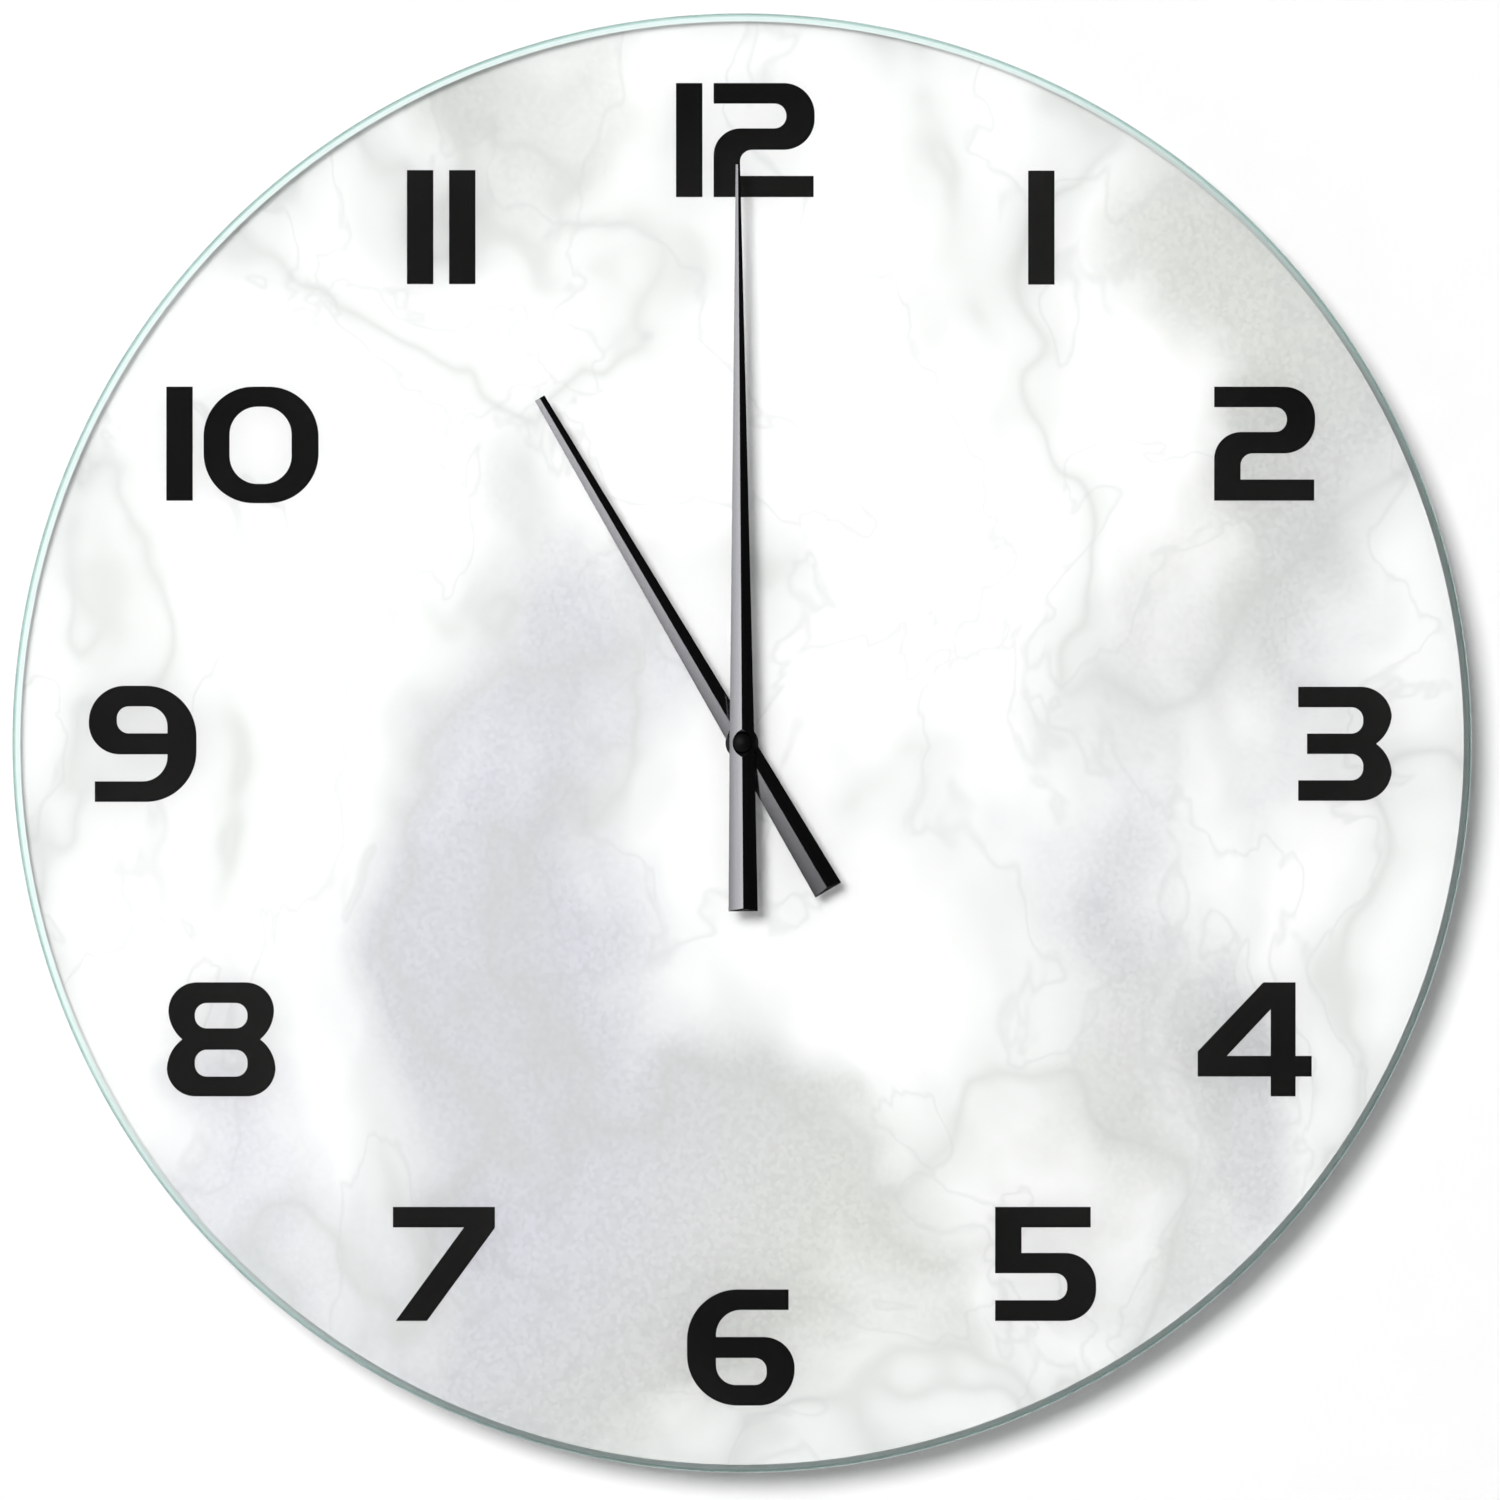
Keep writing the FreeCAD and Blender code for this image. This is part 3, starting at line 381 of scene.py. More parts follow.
def ink_material():
    made, nodes = new_material("numeral_ink")
    uneven = nodes.noise(nodes.mapped(), 5.0, detail=2.0)
    colour = nodes.ramp(uneven, (0.35, grey(0.004)), (0.65, (0.016, 0.016, 0.015)))
    shader = nodes.add(
        "ShaderNodeBsdfPrincipled", Base_Color=colour, Roughness=0.6, Specular_IOR_Level=0.0
    )
    nodes.finish(shader.outputs[0])
    return made


def hand_material(name, lean):
    """Black anodised sheet, brushed along a hand that leans left by an angle in degrees."""
    made, nodes = new_material(name)
    turn = (0, math.radians(lean), 0)
    streaks = nodes.noise(nodes.mapped((1, 1, 0.012), turn), 2600.0, detail=3.0)
    broad = nodes.noise(nodes.mapped((1, 1, 0.06), turn), 260.0, detail=2.0)
    across = nodes.add("ShaderNodeSeparateXYZ", Vector=nodes.mapped(turn=turn)).outputs[0]
    crown = nodes.math("MULTIPLY", nodes.math("MULTIPLY", across, across), -HAND_CROWN / 2)
    height = nodes.math("ADD", crown, nodes.math("MULTIPLY", streaks, BRUSH_DEPTH))
    height = nodes.math("ADD", height, nodes.math("MULTIPLY", broad, 4 * BRUSH_DEPTH))
    colour = nodes.ramp(streaks, (0.3, grey(0.0005)), (0.75, (0.002, 0.002, 0.0024)))
    low, high = HAND_ROUGH
    spread = nodes.add("ShaderNodeMapRange", Value=streaks, To_Min=low, To_Max=high)
    shader = nodes.add(
        "ShaderNodeBsdfPrincipled", Base_Color=colour, Roughness=spread.outputs[0], IOR=HAND_IOR,
        Specular_Tint=(0.95, 0.95, 1, 1), Normal=nodes.bump(height, 1.0)
    )
    nodes.finish(shader.outputs[0])
    return made


def revolve(name, rings, segments, closed):
    """A lathed mesh round the Y axis from rings of (radius, y, material index)."""
    shape = bmesh.new()
    rows = []
    for radius, depth, _ in rings:
        row = []
        for i in range(segments):
            turn = 2 * math.pi * i / segments
            place = (radius * math.cos(turn), depth, radius * math.sin(turn))
            row.append(shape.verts.new(place))
        rows.append(row)
    count = len(rows) if closed else len(rows) - 1
    for j in range(count):
        near = rows[j]
        far = rows[(j + 1) % len(rows)]
        for i in range(segments):
            k = (i + 1) % segments
            face = shape.faces.new((near[i], near[k], far[k], far[i]))
            face.material_index = rings[j][2]
            face.smooth = True
    bmesh.ops.recalc_face_normals(shape, faces=shape.faces[:])
    mesh = bpy.data.meshes.new(name)
    shape.to_mesh(mesh)
    shape.free()
    return mesh_object(name, mesh)


def weld(shape):
    """Joins doubled vertices, so that a mesh is closed, and turns its faces outward."""
    bmesh.ops.remove_doubles(shape, verts=shape.verts[:], dist=WELD_DISTANCE)
    bmesh.ops.dissolve_degenerate(shape, edges=shape.edges[:], dist=WELD_DISTANCE)
    bmesh.ops.recalc_face_normals(shape, faces=shape.faces[:])
    if shape.calc_volume(signed=True) < 0:
        bmesh.ops.reverse_faces(shape, faces=shape.faces[:])


def sharpen(obj, degrees):
    """Marks the edges sharper than an angle, so that flat faces shade flat."""
    shape = bmesh.new()
    shape.from_mesh(obj.data)
    limit = math.radians(degrees)
    for edge in shape.edges:
        edge.smooth = edge.calc_face_angle(0.0) < limit
    shape.to_mesh(obj.data)
    shape.free()


GLASS_FACE, GLASS_EDGE, GLASS_BOND, GLASS_MARGIN = range(4)


def make_glass():
    edge = GLASS_RADIUS
    inner = GLASS_RADIUS - GLASS_ARRIS
    soft = ARRIS_ROUND
    rings = [
        (SHAFT_HOLE_RADIUS, GLASS_BACK, GLASS_BOND),
        (FILM_RADIUS, GLASS_BACK, GLASS_MARGIN),
        (inner - soft, GLASS_BACK, GLASS_EDGE),
        (inner + soft, GLASS_BACK - soft, GLASS_EDGE),
        (edge - soft / 2, GLASS_BACK - GLASS_ARRIS + soft, GLASS_EDGE),
        (edge, GLASS_BACK - GLASS_ARRIS - soft, GLASS_EDGE),
        (edge, GLASS_FRONT + GLASS_ARRIS + soft, GLASS_EDGE),
        (edge - soft / 2, GLASS_FRONT + GLASS_ARRIS - soft, GLASS_EDGE),
        (inner + soft, GLASS_FRONT + soft, GLASS_EDGE),
        (inner - soft, GLASS_FRONT, GLASS_MARGIN),
        (FILM_RADIUS, GLASS_FRONT, GLASS_FACE),
        (SHAFT_HOLE_RADIUS, GLASS_FRONT, GLASS_EDGE),
    ]
    disc = revolve("glass_disc", rings, RIM_SEGMENTS, True)
    for made in (
        glass_material("glass_face", (0.994, 0.999, 0.997), True),
        glass_material("glass_rim", (0.62, 0.76, 0.73), True, EDGE_SHADE),
        glass_material("glass_bonded", (0.998, 0.999, 0.999), False),
        glass_material("glass_margin", (0.9, 0.975, 0.96), True, EDGE_SHADE),
    ):
        disc.data.materials.append(made)
    sharpen(disc, GLASS_SHARP)
    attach(disc, "clock")
    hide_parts("glass_face")
    return disc


def make_print():
    front = GLASS_BACK + INK_GAP + INK_DEPTH + INK_GAP
    rings = [
        (SHAFT_HOLE_RADIUS, front, 0),
        (FILM_RADIUS, front, 1),
        (FILM_RADIUS, FILM_BACK, 1),
        (SHAFT_HOLE_RADIUS, FILM_BACK, 1),
    ]
    sheet = revolve("printed_face", rings, RIM_SEGMENTS, True)
    sheet.data.materials.append(print_material("face_print_front", 0.0))
    sheet.data.materials.append(print_material("face_print_back", BACK_VEIL))
    sharpen(sheet, PRINT_SHARP)
    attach(sheet, "clock")
    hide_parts("printed_film")
    return sheet


def rounded_outline(corners):
    """Points of a closed outline whose corners (x, y, radius) are rounded by tangent arcs."""
    points = []
    for i, (x, y, radius) in enumerate(corners):
        here = Vector((x, y))
        if not radius:
            points.append(here)
            continue
        before = Vector(corners[i - 1][:2]) - here
        after = Vector(corners[(i + 1) % len(corners)][:2]) - here
        half = before.angle(after) / 2
        reach = radius / math.tan(half)
        middle = (before.normalized() + after.normalized()).normalized()
        centre = here + middle * (radius / math.sin(half))
        start = here + before.normalized() * reach - centre
        end = here + after.normalized() * reach - centre
        steps = max(3, round(math.degrees(math.pi - 2 * half) / 5))
        sweep = math.atan2(start.cross(end), start.dot(end))
        for k in range(steps + 1):
            turn = sweep * k / steps
            points.append(centre + Vector((
                start.x * math.cos(turn) - start.y * math.sin(turn),
                start.x * math.sin(turn) + start.y * math.cos(turn),
            )))
    return points


def box_outline(x0, x1, y0, y1, radius=0.0):
    return [(x0, y0, radius), (x1, y0, radius), (x1, y1, radius), (x0, y1, radius)]


def digit_one():
    return STEM, [box_outline(0, STEM, 0, DIGIT_HEIGHT)]


def digit_two():
    width, foot_width = 101.0, 100.0
    inner = width - 28.3
    high, low = 45.3, 66.7
    foot = DIGIT_HEIGHT - 21.2
    return width, [[
        (0, 0, 0), (width, 0, OUTER_ROUND), (width, low, OUTER_ROUND),
        (STEM, low, INNER_ROUND), (STEM, foot, 0), (foot_width, foot, 0),
        (foot_width, DIGIT_HEIGHT, 0), (0, DIGIT_HEIGHT, 0), (0, high, SHOULDER_ROUND),
        (inner, high, INNER_ROUND), (inner, TOP_BAR, INNER_ROUND), (0, TOP_BAR, 0),
    ]]


def digit_three():
    width = 93.6
    inner = 65.0
    middle = DIGIT_HEIGHT / 2
    half_bar = 10.2
    notch = 15.6
    lean = 11.7
    tongue = 8.8
    foot = DIGIT_HEIGHT - TOP_BAR
    return width, [[
        (0, 0, 0), (width, 0, OUTER_ROUND), (width, middle - lean, WAIST_ROUND),
        (width - notch, middle, 0), (width, middle + lean, WAIST_ROUND),
        (width, DIGIT_HEIGHT, OUTER_ROUND), (0, DIGIT_HEIGHT, 0), (0, foot, 0),
        (inner, foot, INNER_ROUND), (inner, middle + half_bar, INNER_ROUND),
        (tongue, middle + half_bar, 0), (tongue, middle - half_bar, 0),
        (inner, middle - half_bar, INNER_ROUND), (inner, TOP_BAR, INNER_ROUND),
        (0, TOP_BAR, 0),
    ]]


def digit_four():
    width = 114.0
    stem_left, stem_right = 73.0, 97.9
    bar_top, bar_low = 73.5, 94.2
    slope_top, slope_foot = 65.6, 69.0
    hole_left, hole_top = 29.2, 27.0
    return width, [
        [
            (slope_top, 0, 0), (stem_right, 0, 0), (stem_right, bar_top, 0), (width, bar_top, 0),
            (width, bar_low, 0), (stem_right, bar_low, 0), (stem_right, DIGIT_HEIGHT, 0),
            (stem_left, DIGIT_HEIGHT, 0), (stem_left, bar_low, 0), (0, bar_low, 0),
            (0, slope_foot, 0),
        ],
        [(hole_left, bar_top, 0), (stem_left, hole_top, 0), (stem_left, bar_top, 0)],
    ]


def digit_five():
    width, bar_width = 101.0, 95.6
    inner = 72.0
    belly, bowl, foot = 46.0, 66.3, 93.3
    return width, [[
        (0, 0, 0), (bar_width, 0, 0), (bar_width, TOP_BAR, 0), (STEM, TOP_BAR, 0),
        (STEM, belly, 0),
        (width, belly, OUTER_ROUND), (width, DIGIT_HEIGHT, OUTER_ROUND), (0, DIGIT_HEIGHT, 0),
        (0, foot, 0), (inner, foot, INNER_ROUND), (inner, bowl, INNER_ROUND), (0, bowl, 0),
    ]]


def digit_six():
    width, bar_width = 107.6, 101.6
    bar_top, bar_low, bowl_low = 47.5, 68.5, 95.5
    left, right = 29.0, 79.6
    throat_round, heel_round, hole_round = 25.0, 36.0, 20.0
    return width, [
        [
            (bar_width, 0, 0), (bar_width, TOP_BAR, 0), (left, TOP_BAR, throat_round),
            (left, bar_top, 0), (width, bar_top, OUTER_ROUND), (width, BOWL_HEIGHT, heel_round),
            (0, BOWL_HEIGHT, BOWL_ROUND), (0, 0, BOWL_ROUND),
        ],
        [(left, bar_low, 0), (right, bar_low, INNER_ROUND), (right, bowl_low, INNER_ROUND),
         (left, bowl_low, hole_round)],
    ]


def digit_seven():
    width, bar_end, neck = 102.0, 21.0, 71.0
    foot_left, foot_right = 2.7, 34.0
    return width, [[
        (0, 0, 0), (width, 0, 0), (width, bar_end, 0), (foot_right, DIGIT_HEIGHT, 0),
        (foot_left, DIGIT_HEIGHT, 0), (neck, TOP_BAR, 0), (0, TOP_BAR, 0),
    ]]


def digit_eight():
    width = 108.7
    inset = 1.6
    notch = 15.4
    lean = 11.5
    middle = DIGIT_HEIGHT / 2
    left, right = 28.0, 80.6
    upper_hole, lower_hole = (20.6, 46.0), (67.4, 94.2)
    return width, [
        [
            (inset, 0, EIGHT_ROUND), (width - inset, 0, EIGHT_ROUND),
            (width - inset, middle - lean, WAIST_ROUND), (width - notch, middle, 0),
            (width, middle + lean, WAIST_ROUND), (width, DIGIT_HEIGHT, EIGHT_ROUND),
            (0, DIGIT_HEIGHT, EIGHT_ROUND), (0, middle + lean, WAIST_ROUND),
            (notch, middle, 0), (inset, middle - lean, WAIST_ROUND),
        ],
        box_outline(left, right, *upper_hole, INNER_ROUND),
        box_outline(left, right, *lower_hole, INNER_ROUND),
    ]


def digit_nine():
    width, outlines = digit_six()
    turned = [
        [(width - x, BOWL_HEIGHT - y, radius) for x, y, radius in outline]
        for outline in outlines
    ]
    return width, turned


def digit_zero():
    width, height, outer_round = 115.0, 116.5, 50.0
    left, right, top, foot, hole_round = 26.0, 88.0, 20.0, 97.2, 28.0
    return width, [
        box_outline(0, width, 0, height, outer_round),
        box_outline(left, right, top, foot, hole_round),
    ]


DIGITS = (
    digit_zero, digit_one, digit_two, digit_three, digit_four,
    digit_five, digit_six, digit_seven, digit_eight, digit_nine,
)


def make_numeral(hour, ink):
    outlines = []
    start = 0.0
    for mark in str(hour):
        width, drawn = DIGITS[int(mark)]()
        outlines += [[(start + x, y, radius) for x, y, radius in o] for o in drawn]
        start += width + DIGIT_GAP.get(hour, 0.0)
    left = NUMERAL_CORNER_PX[hour][0] - DIAL_MIDDLE_PX[0]
    top = DIAL_MIDDLE_PX[1] - NUMERAL_CORNER_PX[hour][1]
    pixel = METRES_PER_PX * BEHIND_GLASS
    curve = bpy.data.curves.new("outline", "CURVE")
    curve.dimensions = "2D"
    curve.fill_mode = "BOTH"
    curve.extrude = INK_DEPTH / 2
    for outline in outlines:
        points = rounded_outline(outline)
        spline = curve.splines.new("POLY")
        spline.points.add(len(points) - 1)
        for point, place in zip(spline.points, points):
            x = (left + place.x) * pixel
            z = (top - place.y) * pixel
            point.co = (x, z, 0, 1)
        spline.use_cyclic_u = True
    holder = link(bpy.data.objects.new("holder", curve))
    bpy.context.view_layer.update()
    mesh = bpy.data.meshes.new_from_object(holder)
    bpy.data.objects.remove(holder)
    depth = GLASS_BACK + INK_GAP + INK_DEPTH / 2
    shape = bmesh.new()
    shape.from_mesh(mesh)
    for vertex in shape.verts:
        x, z, out = vertex.co
        vertex.co = (x, depth - out, z)
    weld(shape)
    shape.to_mesh(mesh)
    shape.free()
    numeral = mesh_object(f"numeral_{hour}", mesh)
    mesh.materials.clear()
    mesh.materials.append(ink)
    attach(numeral, "clock")
    return numeral


make_glass()
make_print()
ink = ink_material()
for hour in range(1, 13):
    make_numeral(hour, ink)

# Finishes of the pieces that stay as the frame has them
case_black = surface(
    "case_moulding", (0.006, 0.006, 0.007), (0.02, 0.02, 0.022), (0.42, 0.62), 3500.0,
    bump=0.00004
)
natural_plastic = surface(
    "natural_moulding", (0.68, 0.67, 0.6), (0.8, 0.79, 0.73), (0.35, 0.5), 900.0, bump=0.00001
)
acetal = surface(
    "acetal", (0.76, 0.76, 0.7), (0.86, 0.86, 0.82), (0.3, 0.42), 700.0, bump=0.000008,
    Subsurface_Weight=0.15
)
zinc = surface(
    "zinc_plate", (0.42, 0.43, 0.45), (0.62, 0.62, 0.6), (0.25, 0.42), 2500.0, metallic=1.0,
    bump=0.000006
)
rubber = surface(
    "black_rubber", (0.008, 0.008, 0.008), (0.022, 0.022, 0.021), (0.7, 0.85), 2200.0,
    bump=0.00002
)
brass = turned_metal("turned_brass", (0.52, 0.36, 0.14), (0.72, 0.55, 0.26), (0.2, 0.38), 0, 0)
spring_strip = surface(
    "spring_strip", (0.45, 0.44, 0.41), (0.62, 0.61, 0.57), (0.22, 0.36), 1500.0, metallic=1.0,
    bump=0.000005, stretch=(1, 1, 0.05)
)
laminate = surface(
    "phenolic_board", (0.16, 0.075, 0.022), (0.3, 0.16, 0.06), (0.4, 0.55), 1200.0,
    bump=0.00001, stretch=(0.2, 1, 1)
)
epoxy = surface(
    "epoxy_blob", (0.004, 0.004, 0.004), (0.012, 0.012, 0.012), (0.12, 0.22), 900.0,
    bump=0.00001
)
soft_iron = surface(
    "rolled_iron", (0.3, 0.3, 0.31), (0.48, 0.48, 0.47), (0.3, 0.5), 1800.0, metallic=1.0,
    bump=0.000008, stretch=(1, 1, 0.08)
)
ferrite = surface(
    "ferrite", (0.02, 0.02, 0.022), (0.06, 0.06, 0.062), (0.45, 0.6), 4000.0, bump=0.00001
)
copper = surface(
    "enamelled_wire", (0.3, 0.08, 0.02), (0.55, 0.19, 0.07), (0.2, 0.32), 6000.0, metallic=1.0,
    bump=0.00004, stretch=(0.05, 0.05, 1)
)
cap_black = surface(
    "cap_black", (0.0006, 0.0006, 0.0006), (0.0018, 0.0018, 0.0018), (0.5, 0.62), 2500.0,
    bump=0.000006, IOR=1.2
)


def cell_material():
    """A plain dark jacket with bare steel at both ends of the cell."""
    made, nodes = new_material("cell_jacket")
    low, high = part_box("battery")
    place = nodes.mapped()
    across = nodes.add("ShaderNodeSeparateXYZ", Vector=place).outputs[0]
    bare_low = nodes.math("LESS_THAN", across, low.x + CELL_LOW_END)
    bare_high = nodes.math("GREATER_THAN", across, high.x - CELL_HIGH_END)
    bare = nodes.math("ADD", bare_low, bare_high, clamp=True)
    scuffs = nodes.noise(nodes.mapped((0.2, 1, 1)), 1200.0)
    jacket = nodes.ramp(scuffs, (0.3, (0.036, 0.04, 0.046)), (0.75, (0.047, 0.052, 0.059)))
    steel = nodes.ramp(scuffs, (0.3, (0.5, 0.5, 0.49)), (0.75, (0.68, 0.68, 0.66)))
    spread = nodes.add("ShaderNodeMapRange", Value=scuffs, To_Min=0.26, To_Max=0.31)
    shader = nodes.add(
        "ShaderNodeBsdfPrincipled", Base_Color=nodes.blend(bare, jacket, steel), Metallic=bare,
        Roughness=spread.outputs[0], Normal=nodes.bump(scuffs, 0.000002)
    )
    nodes.finish(shader.outputs[0])
    return made


FINISHES = {
    case_black: ("front_case", "back_cover", "setting_knob"),
    natural_plastic: ("train_plate", "coil_bobbin"),
    acetal: ("rotor_pinion", "intermediate_wheel", "seconds_wheel", "third_wheel",
             "minute_wheel", "hour_wheel"),
    zinc: ("cover_screws", "quartz_crystal"),
    rubber: ("rubber_gasket",),
    brass: ("post_washer", "post_nut", "centre_wheel", "minute_pipe"),
    spring_strip: ("positive_contact", "negative_contact", "clutch_spring"),
    laminate: ("circuit_board",),
    epoxy: ("control_chip",),
    soft_iron: ("coil_core", "stator"),
    ferrite: ("rotor_magnet",),
    copper: ("coil_winding",),
    cap_black: ("minute_hand_bushing", "hour_hand_bushing", "cap_nut"),
    cell_material(): ("battery",),
}
for finish, names in FINISHES.items():
    for name in names:
        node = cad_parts[name]
        node.data.materials.clear()
        node.data.materials.append(finish)


def close_tail(shape, corners, up):
    """A thin end plate just behind the slanted cut, so that the tail ends in one straight line."""
    centre = sum(corners, Vector()) / len(corners)
    near = [centre + (corner - centre) * TAIL_PLATE_SHARE for corner in corners]
    near = [corner + up * TAIL_PLATE_SETBACK for corner in near]
    far = [corner + up * TAIL_PLATE for corner in near]
    points = [shape.verts.new(place) for place in near + far]
    count = len(corners)
    faces = [shape.faces.new(points[:count]), shape.faces.new(points[:count - 1:-1])]
    for i in range(count):
        after = (i + 1) % count
        faces.append(shape.faces.new(
            (points[i], points[after], points[after + count], points[i + count])
        ))
    bmesh.ops.recalc_face_normals(shape, faces=faces)


def make_hand(node, body, lean):
    """The folded hand, its tail cut on a slant from foot to ridge and closed by a plate."""
    lowest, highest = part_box(node)
    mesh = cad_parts[node].data.copy()
    mesh.materials.clear()
    for made in (hand_material(f"{node}_black", lean), cap_black):
        mesh.materials.append(made)
    turn = math.radians(lean)
    up = Vector((-math.sin(turn), 0, math.cos(turn)))
    tail = min(up.dot(vertex.co) for vertex in mesh.vertices)
    foot = up * tail + Vector((0, highest.y, 0))
    out = (up * (lowest.y - highest.y) + Vector((0, -TAIL_SLANT, 0))).normalized()
    shape = bmesh.new()
    shape.from_mesh(mesh)
    weld(shape)
    cut = bmesh.ops.bisect_plane(
        shape, geom=shape.verts[:] + shape.edges[:] + shape.faces[:], plane_co=foot,
        plane_no=out, clear_outer=True, dist=WELD_DISTANCE
    )["geom_cut"]
    rim = [edge for edge in cut if isinstance(edge, bmesh.types.BMEdge)]
    bmesh.ops.holes_fill(shape, edges=rim, sides=0)
    weld(shape)
    side = Vector((up.z, 0, -up.x))
    ends = [
        side.dot(vertex.co) for vertex in shape.verts
        if up.dot(vertex.co) < tail + WELD_DISTANCE
    ]
    left, right = min(ends), max(ends)
    ridge = foot + side * (left + right) / 2 + up * TAIL_SLANT
    ridge.y = lowest.y
    close_tail(shape, [foot + side * left, foot + side * right, ridge], up)
    shape.normal_update()
    for face in shape.faces:
        on_cut = face.normal.dot(out) > CUT_ALIGNED
        face.material_index = HAND_CUT if on_cut else HAND_FACE
    shape.to_mesh(mesh)
    shape.free()
    hand = mesh_object(f"{node}_sheet", mesh)
    sharpen(hand, HAND_SHARP)
    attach(hand, body)
    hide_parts(node)
    return hand


make_hand("minute_hand", "minute_group", MINUTE_LEAN)
make_hand("hour_hand", "hour_group", HOUR_LEAN)

# Backdrop: a white wall seen from the front only, and a pale floor well below
WALL_SIZE = 3.6
WALL_LIGHT = 0.035
FLOOR_LEVEL = -2.0
FLOOR_REACH = 1.8
WALL_GAP = 0.0002


def backdrop_material(one_sided):
    """White paint with a slight glow. One-sided, it lets sight and light from behind through."""
    made, nodes = new_material("backdrop_wall" if one_sided else "backdrop_floor")
    mottle = nodes.noise(nodes.mapped(), 60.0)
    colour = nodes.ramp(mottle, (0.3, grey(0.965)), (0.7, grey(0.98)))
    paint = nodes.add("ShaderNodeBsdfDiffuse", Color=colour).outputs[0]
    path = nodes.tree.nodes.new("ShaderNodeLightPath")
    seen = nodes.math("ADD", path.outputs["Is Camera Ray"], path.outputs["Is Glossy Ray"])
    seen = nodes.math("ADD", seen, path.outputs["Is Transmission Ray"], clamp=True)
    glow = nodes.add(
        "ShaderNodeEmission", Color=(1, 1, 1, 1), Strength=nodes.math("MULTIPLY", seen, WALL_LIGHT)
    ).outputs[0]
    both = nodes.tree.nodes.new("ShaderNodeAddShader")
    nodes.tree.links.new(paint, both.inputs[0])
    nodes.tree.links.new(glow, both.inputs[1])
    if not one_sided:
        nodes.finish(both.outputs[0])
        return made
    behind = nodes.tree.nodes.new("ShaderNodeNewGeometry").outputs["Backfacing"]
    hidden = nodes.math("MULTIPLY", behind, path.outputs["Is Camera Ray"])
    direct = nodes.math("LESS_THAN", path.outputs["Diffuse Depth"], 0.5)
    lit = nodes.math("MULTIPLY", direct, path.outputs["Is Shadow Ray"])
    hidden = nodes.math("ADD", hidden, lit, clamp=True)
    first = nodes.math("LESS_THAN", path.outputs["Diffuse Depth"], 1.5)
    lit = nodes.math("MULTIPLY", first, path.outputs["Is Diffuse Ray"])
    hidden = nodes.math("ADD", hidden, lit, clamp=True)
    clear = nodes.add("ShaderNodeBsdfTransparent").outputs[0]
    nodes.finish(nodes.mix(hidden, both.outputs[0], clear))
    return made


def plane(name, corners, finish):
    mesh = bpy.data.meshes.new(name)
    mesh.from_pydata(corners, [], [tuple(range(len(corners)))])
    mesh.materials.append(finish)
    sheet = mesh_object(name, mesh)
    return sheet


half = WALL_SIZE / 2
wall_back = cad_high.y + WALL_GAP
plane(
    "wall_backdrop",
    [(-half, wall_back, FLOOR_LEVEL), (half, wall_back, FLOOR_LEVEL),
     (half, wall_back, half), (-half, wall_back, half)],
    backdrop_material(True)
)
plane(
    "floor",
    [(-half, -FLOOR_REACH, FLOOR_LEVEL), (half, -FLOOR_REACH, FLOOR_LEVEL),
     (half, FLOOR_REACH, FLOOR_LEVEL), (-half, FLOOR_REACH, FLOOR_LEVEL)],
    backdrop_material(False)
)

# Lamps stand this far off, each given by its turn round the view and its tilt off it
LAMP_DISTANCE = 9.0


def lamp(name, turn, tilt, size, level, behind=False, card=False):
    """An oval softbox aimed at the disc. Level is what it adds to a white face turned to it.

    A card is seen by shiny faces only.
    """
    round_view = math.radians(turn)
    off = math.radians(tilt)
    side = 1 if behind else -1
    direction = Vector((
        math.sin(off) * math.cos(round_view), side * math.cos(off),
        math.sin(off) * math.sin(round_view)
    ))
    data = bpy.data.lights.new(name, "AREA")
    data.shape = "ELLIPSE"
    data.size, data.size_y = size
    data.energy = level * math.pi ** 2 * LAMP_DISTANCE ** 2
    holder = link(bpy.data.objects.new(name, data))
    holder.visible_diffuse = not card
    holder.location = direction * LAMP_DISTANCE
    holder.rotation_mode = "QUATERNION"
    holder.rotation_quaternion = direction.to_track_quat("Z", "Y")
    return holder


lamp("key_softbox", 134, 28, (3.9, 3.9), 0.96)
lamp("side_card", 186, 34, (2.0, 4.6), 0.26, card=True)
lamp("rear_softbox", 120, 35, (5.0, 5.0), 0.90, behind=True)

# The room lights the object evenly, but what its front mirrors is dark on the right
ROOM_LIGHT = 0.14
MIRRORED_LEFT = 0.30
MIRRORED_RIGHT = 0.02
MIRROR_SPAN = (-0.8, 0.2)


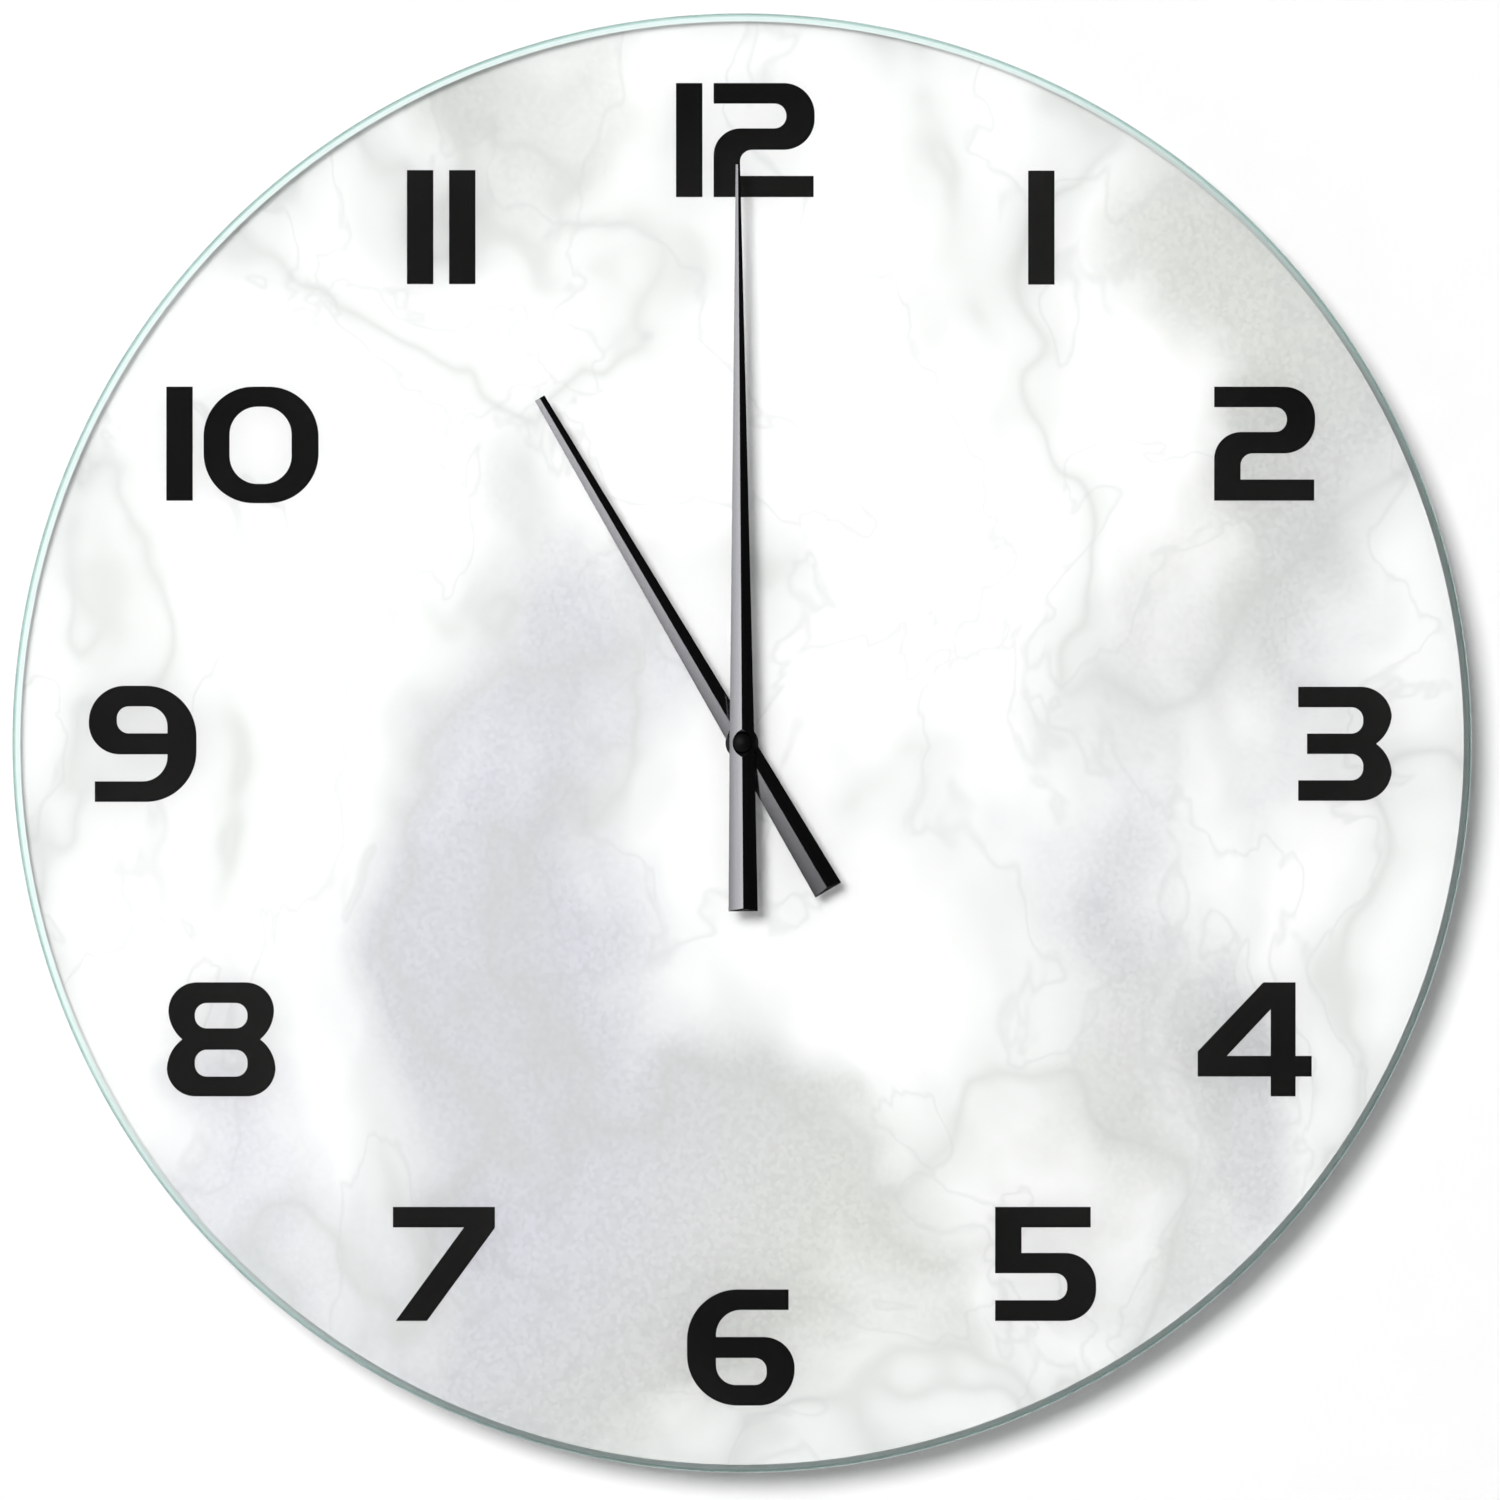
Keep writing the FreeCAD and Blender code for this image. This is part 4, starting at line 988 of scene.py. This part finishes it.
def set_world():
    world = bpy.data.worlds.new("studio")
    bpy.context.scene.world = world
    world.use_nodes = True
    nodes = Nodes(world.node_tree)
    coords = nodes.tree.nodes.new("ShaderNodeTexCoord")
    parts = nodes.add("ShaderNodeSeparateXYZ", Vector=coords.outputs["Generated"])
    mirrored = nodes.add(
        "ShaderNodeMapRange", Value=parts.outputs[0],
        From_Min=MIRROR_SPAN[0], From_Max=MIRROR_SPAN[1],
        To_Min=MIRRORED_LEFT, To_Max=MIRRORED_RIGHT
    ).outputs[0]
    path = nodes.tree.nodes.new("ShaderNodeLightPath")
    change = nodes.math("SUBTRACT", mirrored, ROOM_LIGHT)
    level = nodes.math("MULTIPLY", change, path.outputs["Is Glossy Ray"])
    level = nodes.math("ADD", level, ROOM_LIGHT)
    towards_wall = nodes.math("GREATER_THAN", parts.outputs[1], 0.0)
    seen = nodes.math("ADD", path.outputs["Is Glossy Ray"], path.outputs["Is Transmission Ray"])
    seen = nodes.math("MULTIPLY", seen, towards_wall)
    seen = nodes.math("ADD", seen, path.outputs["Is Camera Ray"], clamp=True)
    room = nodes.add("ShaderNodeBackground", Strength=level).outputs[0]
    nodes.set(room.node, "Color", (1, 1, 1, 1))
    white = nodes.add("ShaderNodeBackground", Color=(1, 1, 1, 1), Strength=1.0).outputs[0]
    nodes.finish(nodes.mix(seen, room, white), "ShaderNodeOutputWorld")


set_world()

# The camera looks straight at the disc, as the photograph does
CAMERA_DISTANCE = 2.4
SENSOR_WIDTH = 36.0
frame_width = IMAGE_SIZE_PX * METRES_PER_PX
camera_data = bpy.data.cameras.new("camera")
camera_data.sensor_width = SENSOR_WIDTH
camera_data.lens = SENSOR_WIDTH * CAMERA_DISTANCE / frame_width
camera = link(bpy.data.objects.new("camera", camera_data))
camera.location = (
    (IMAGE_SIZE_PX / 2 - DISC_CENTRE_PX[0]) * METRES_PER_PX,
    GLASS_FRONT - CAMERA_DISTANCE,
    (DISC_CENTRE_PX[1] - IMAGE_SIZE_PX / 2) * METRES_PER_PX,
)
camera.rotation_euler = (math.pi / 2, 0, 0)
bpy.context.scene.camera = camera

bpy.context.scene.view_settings.view_transform = "Standard"
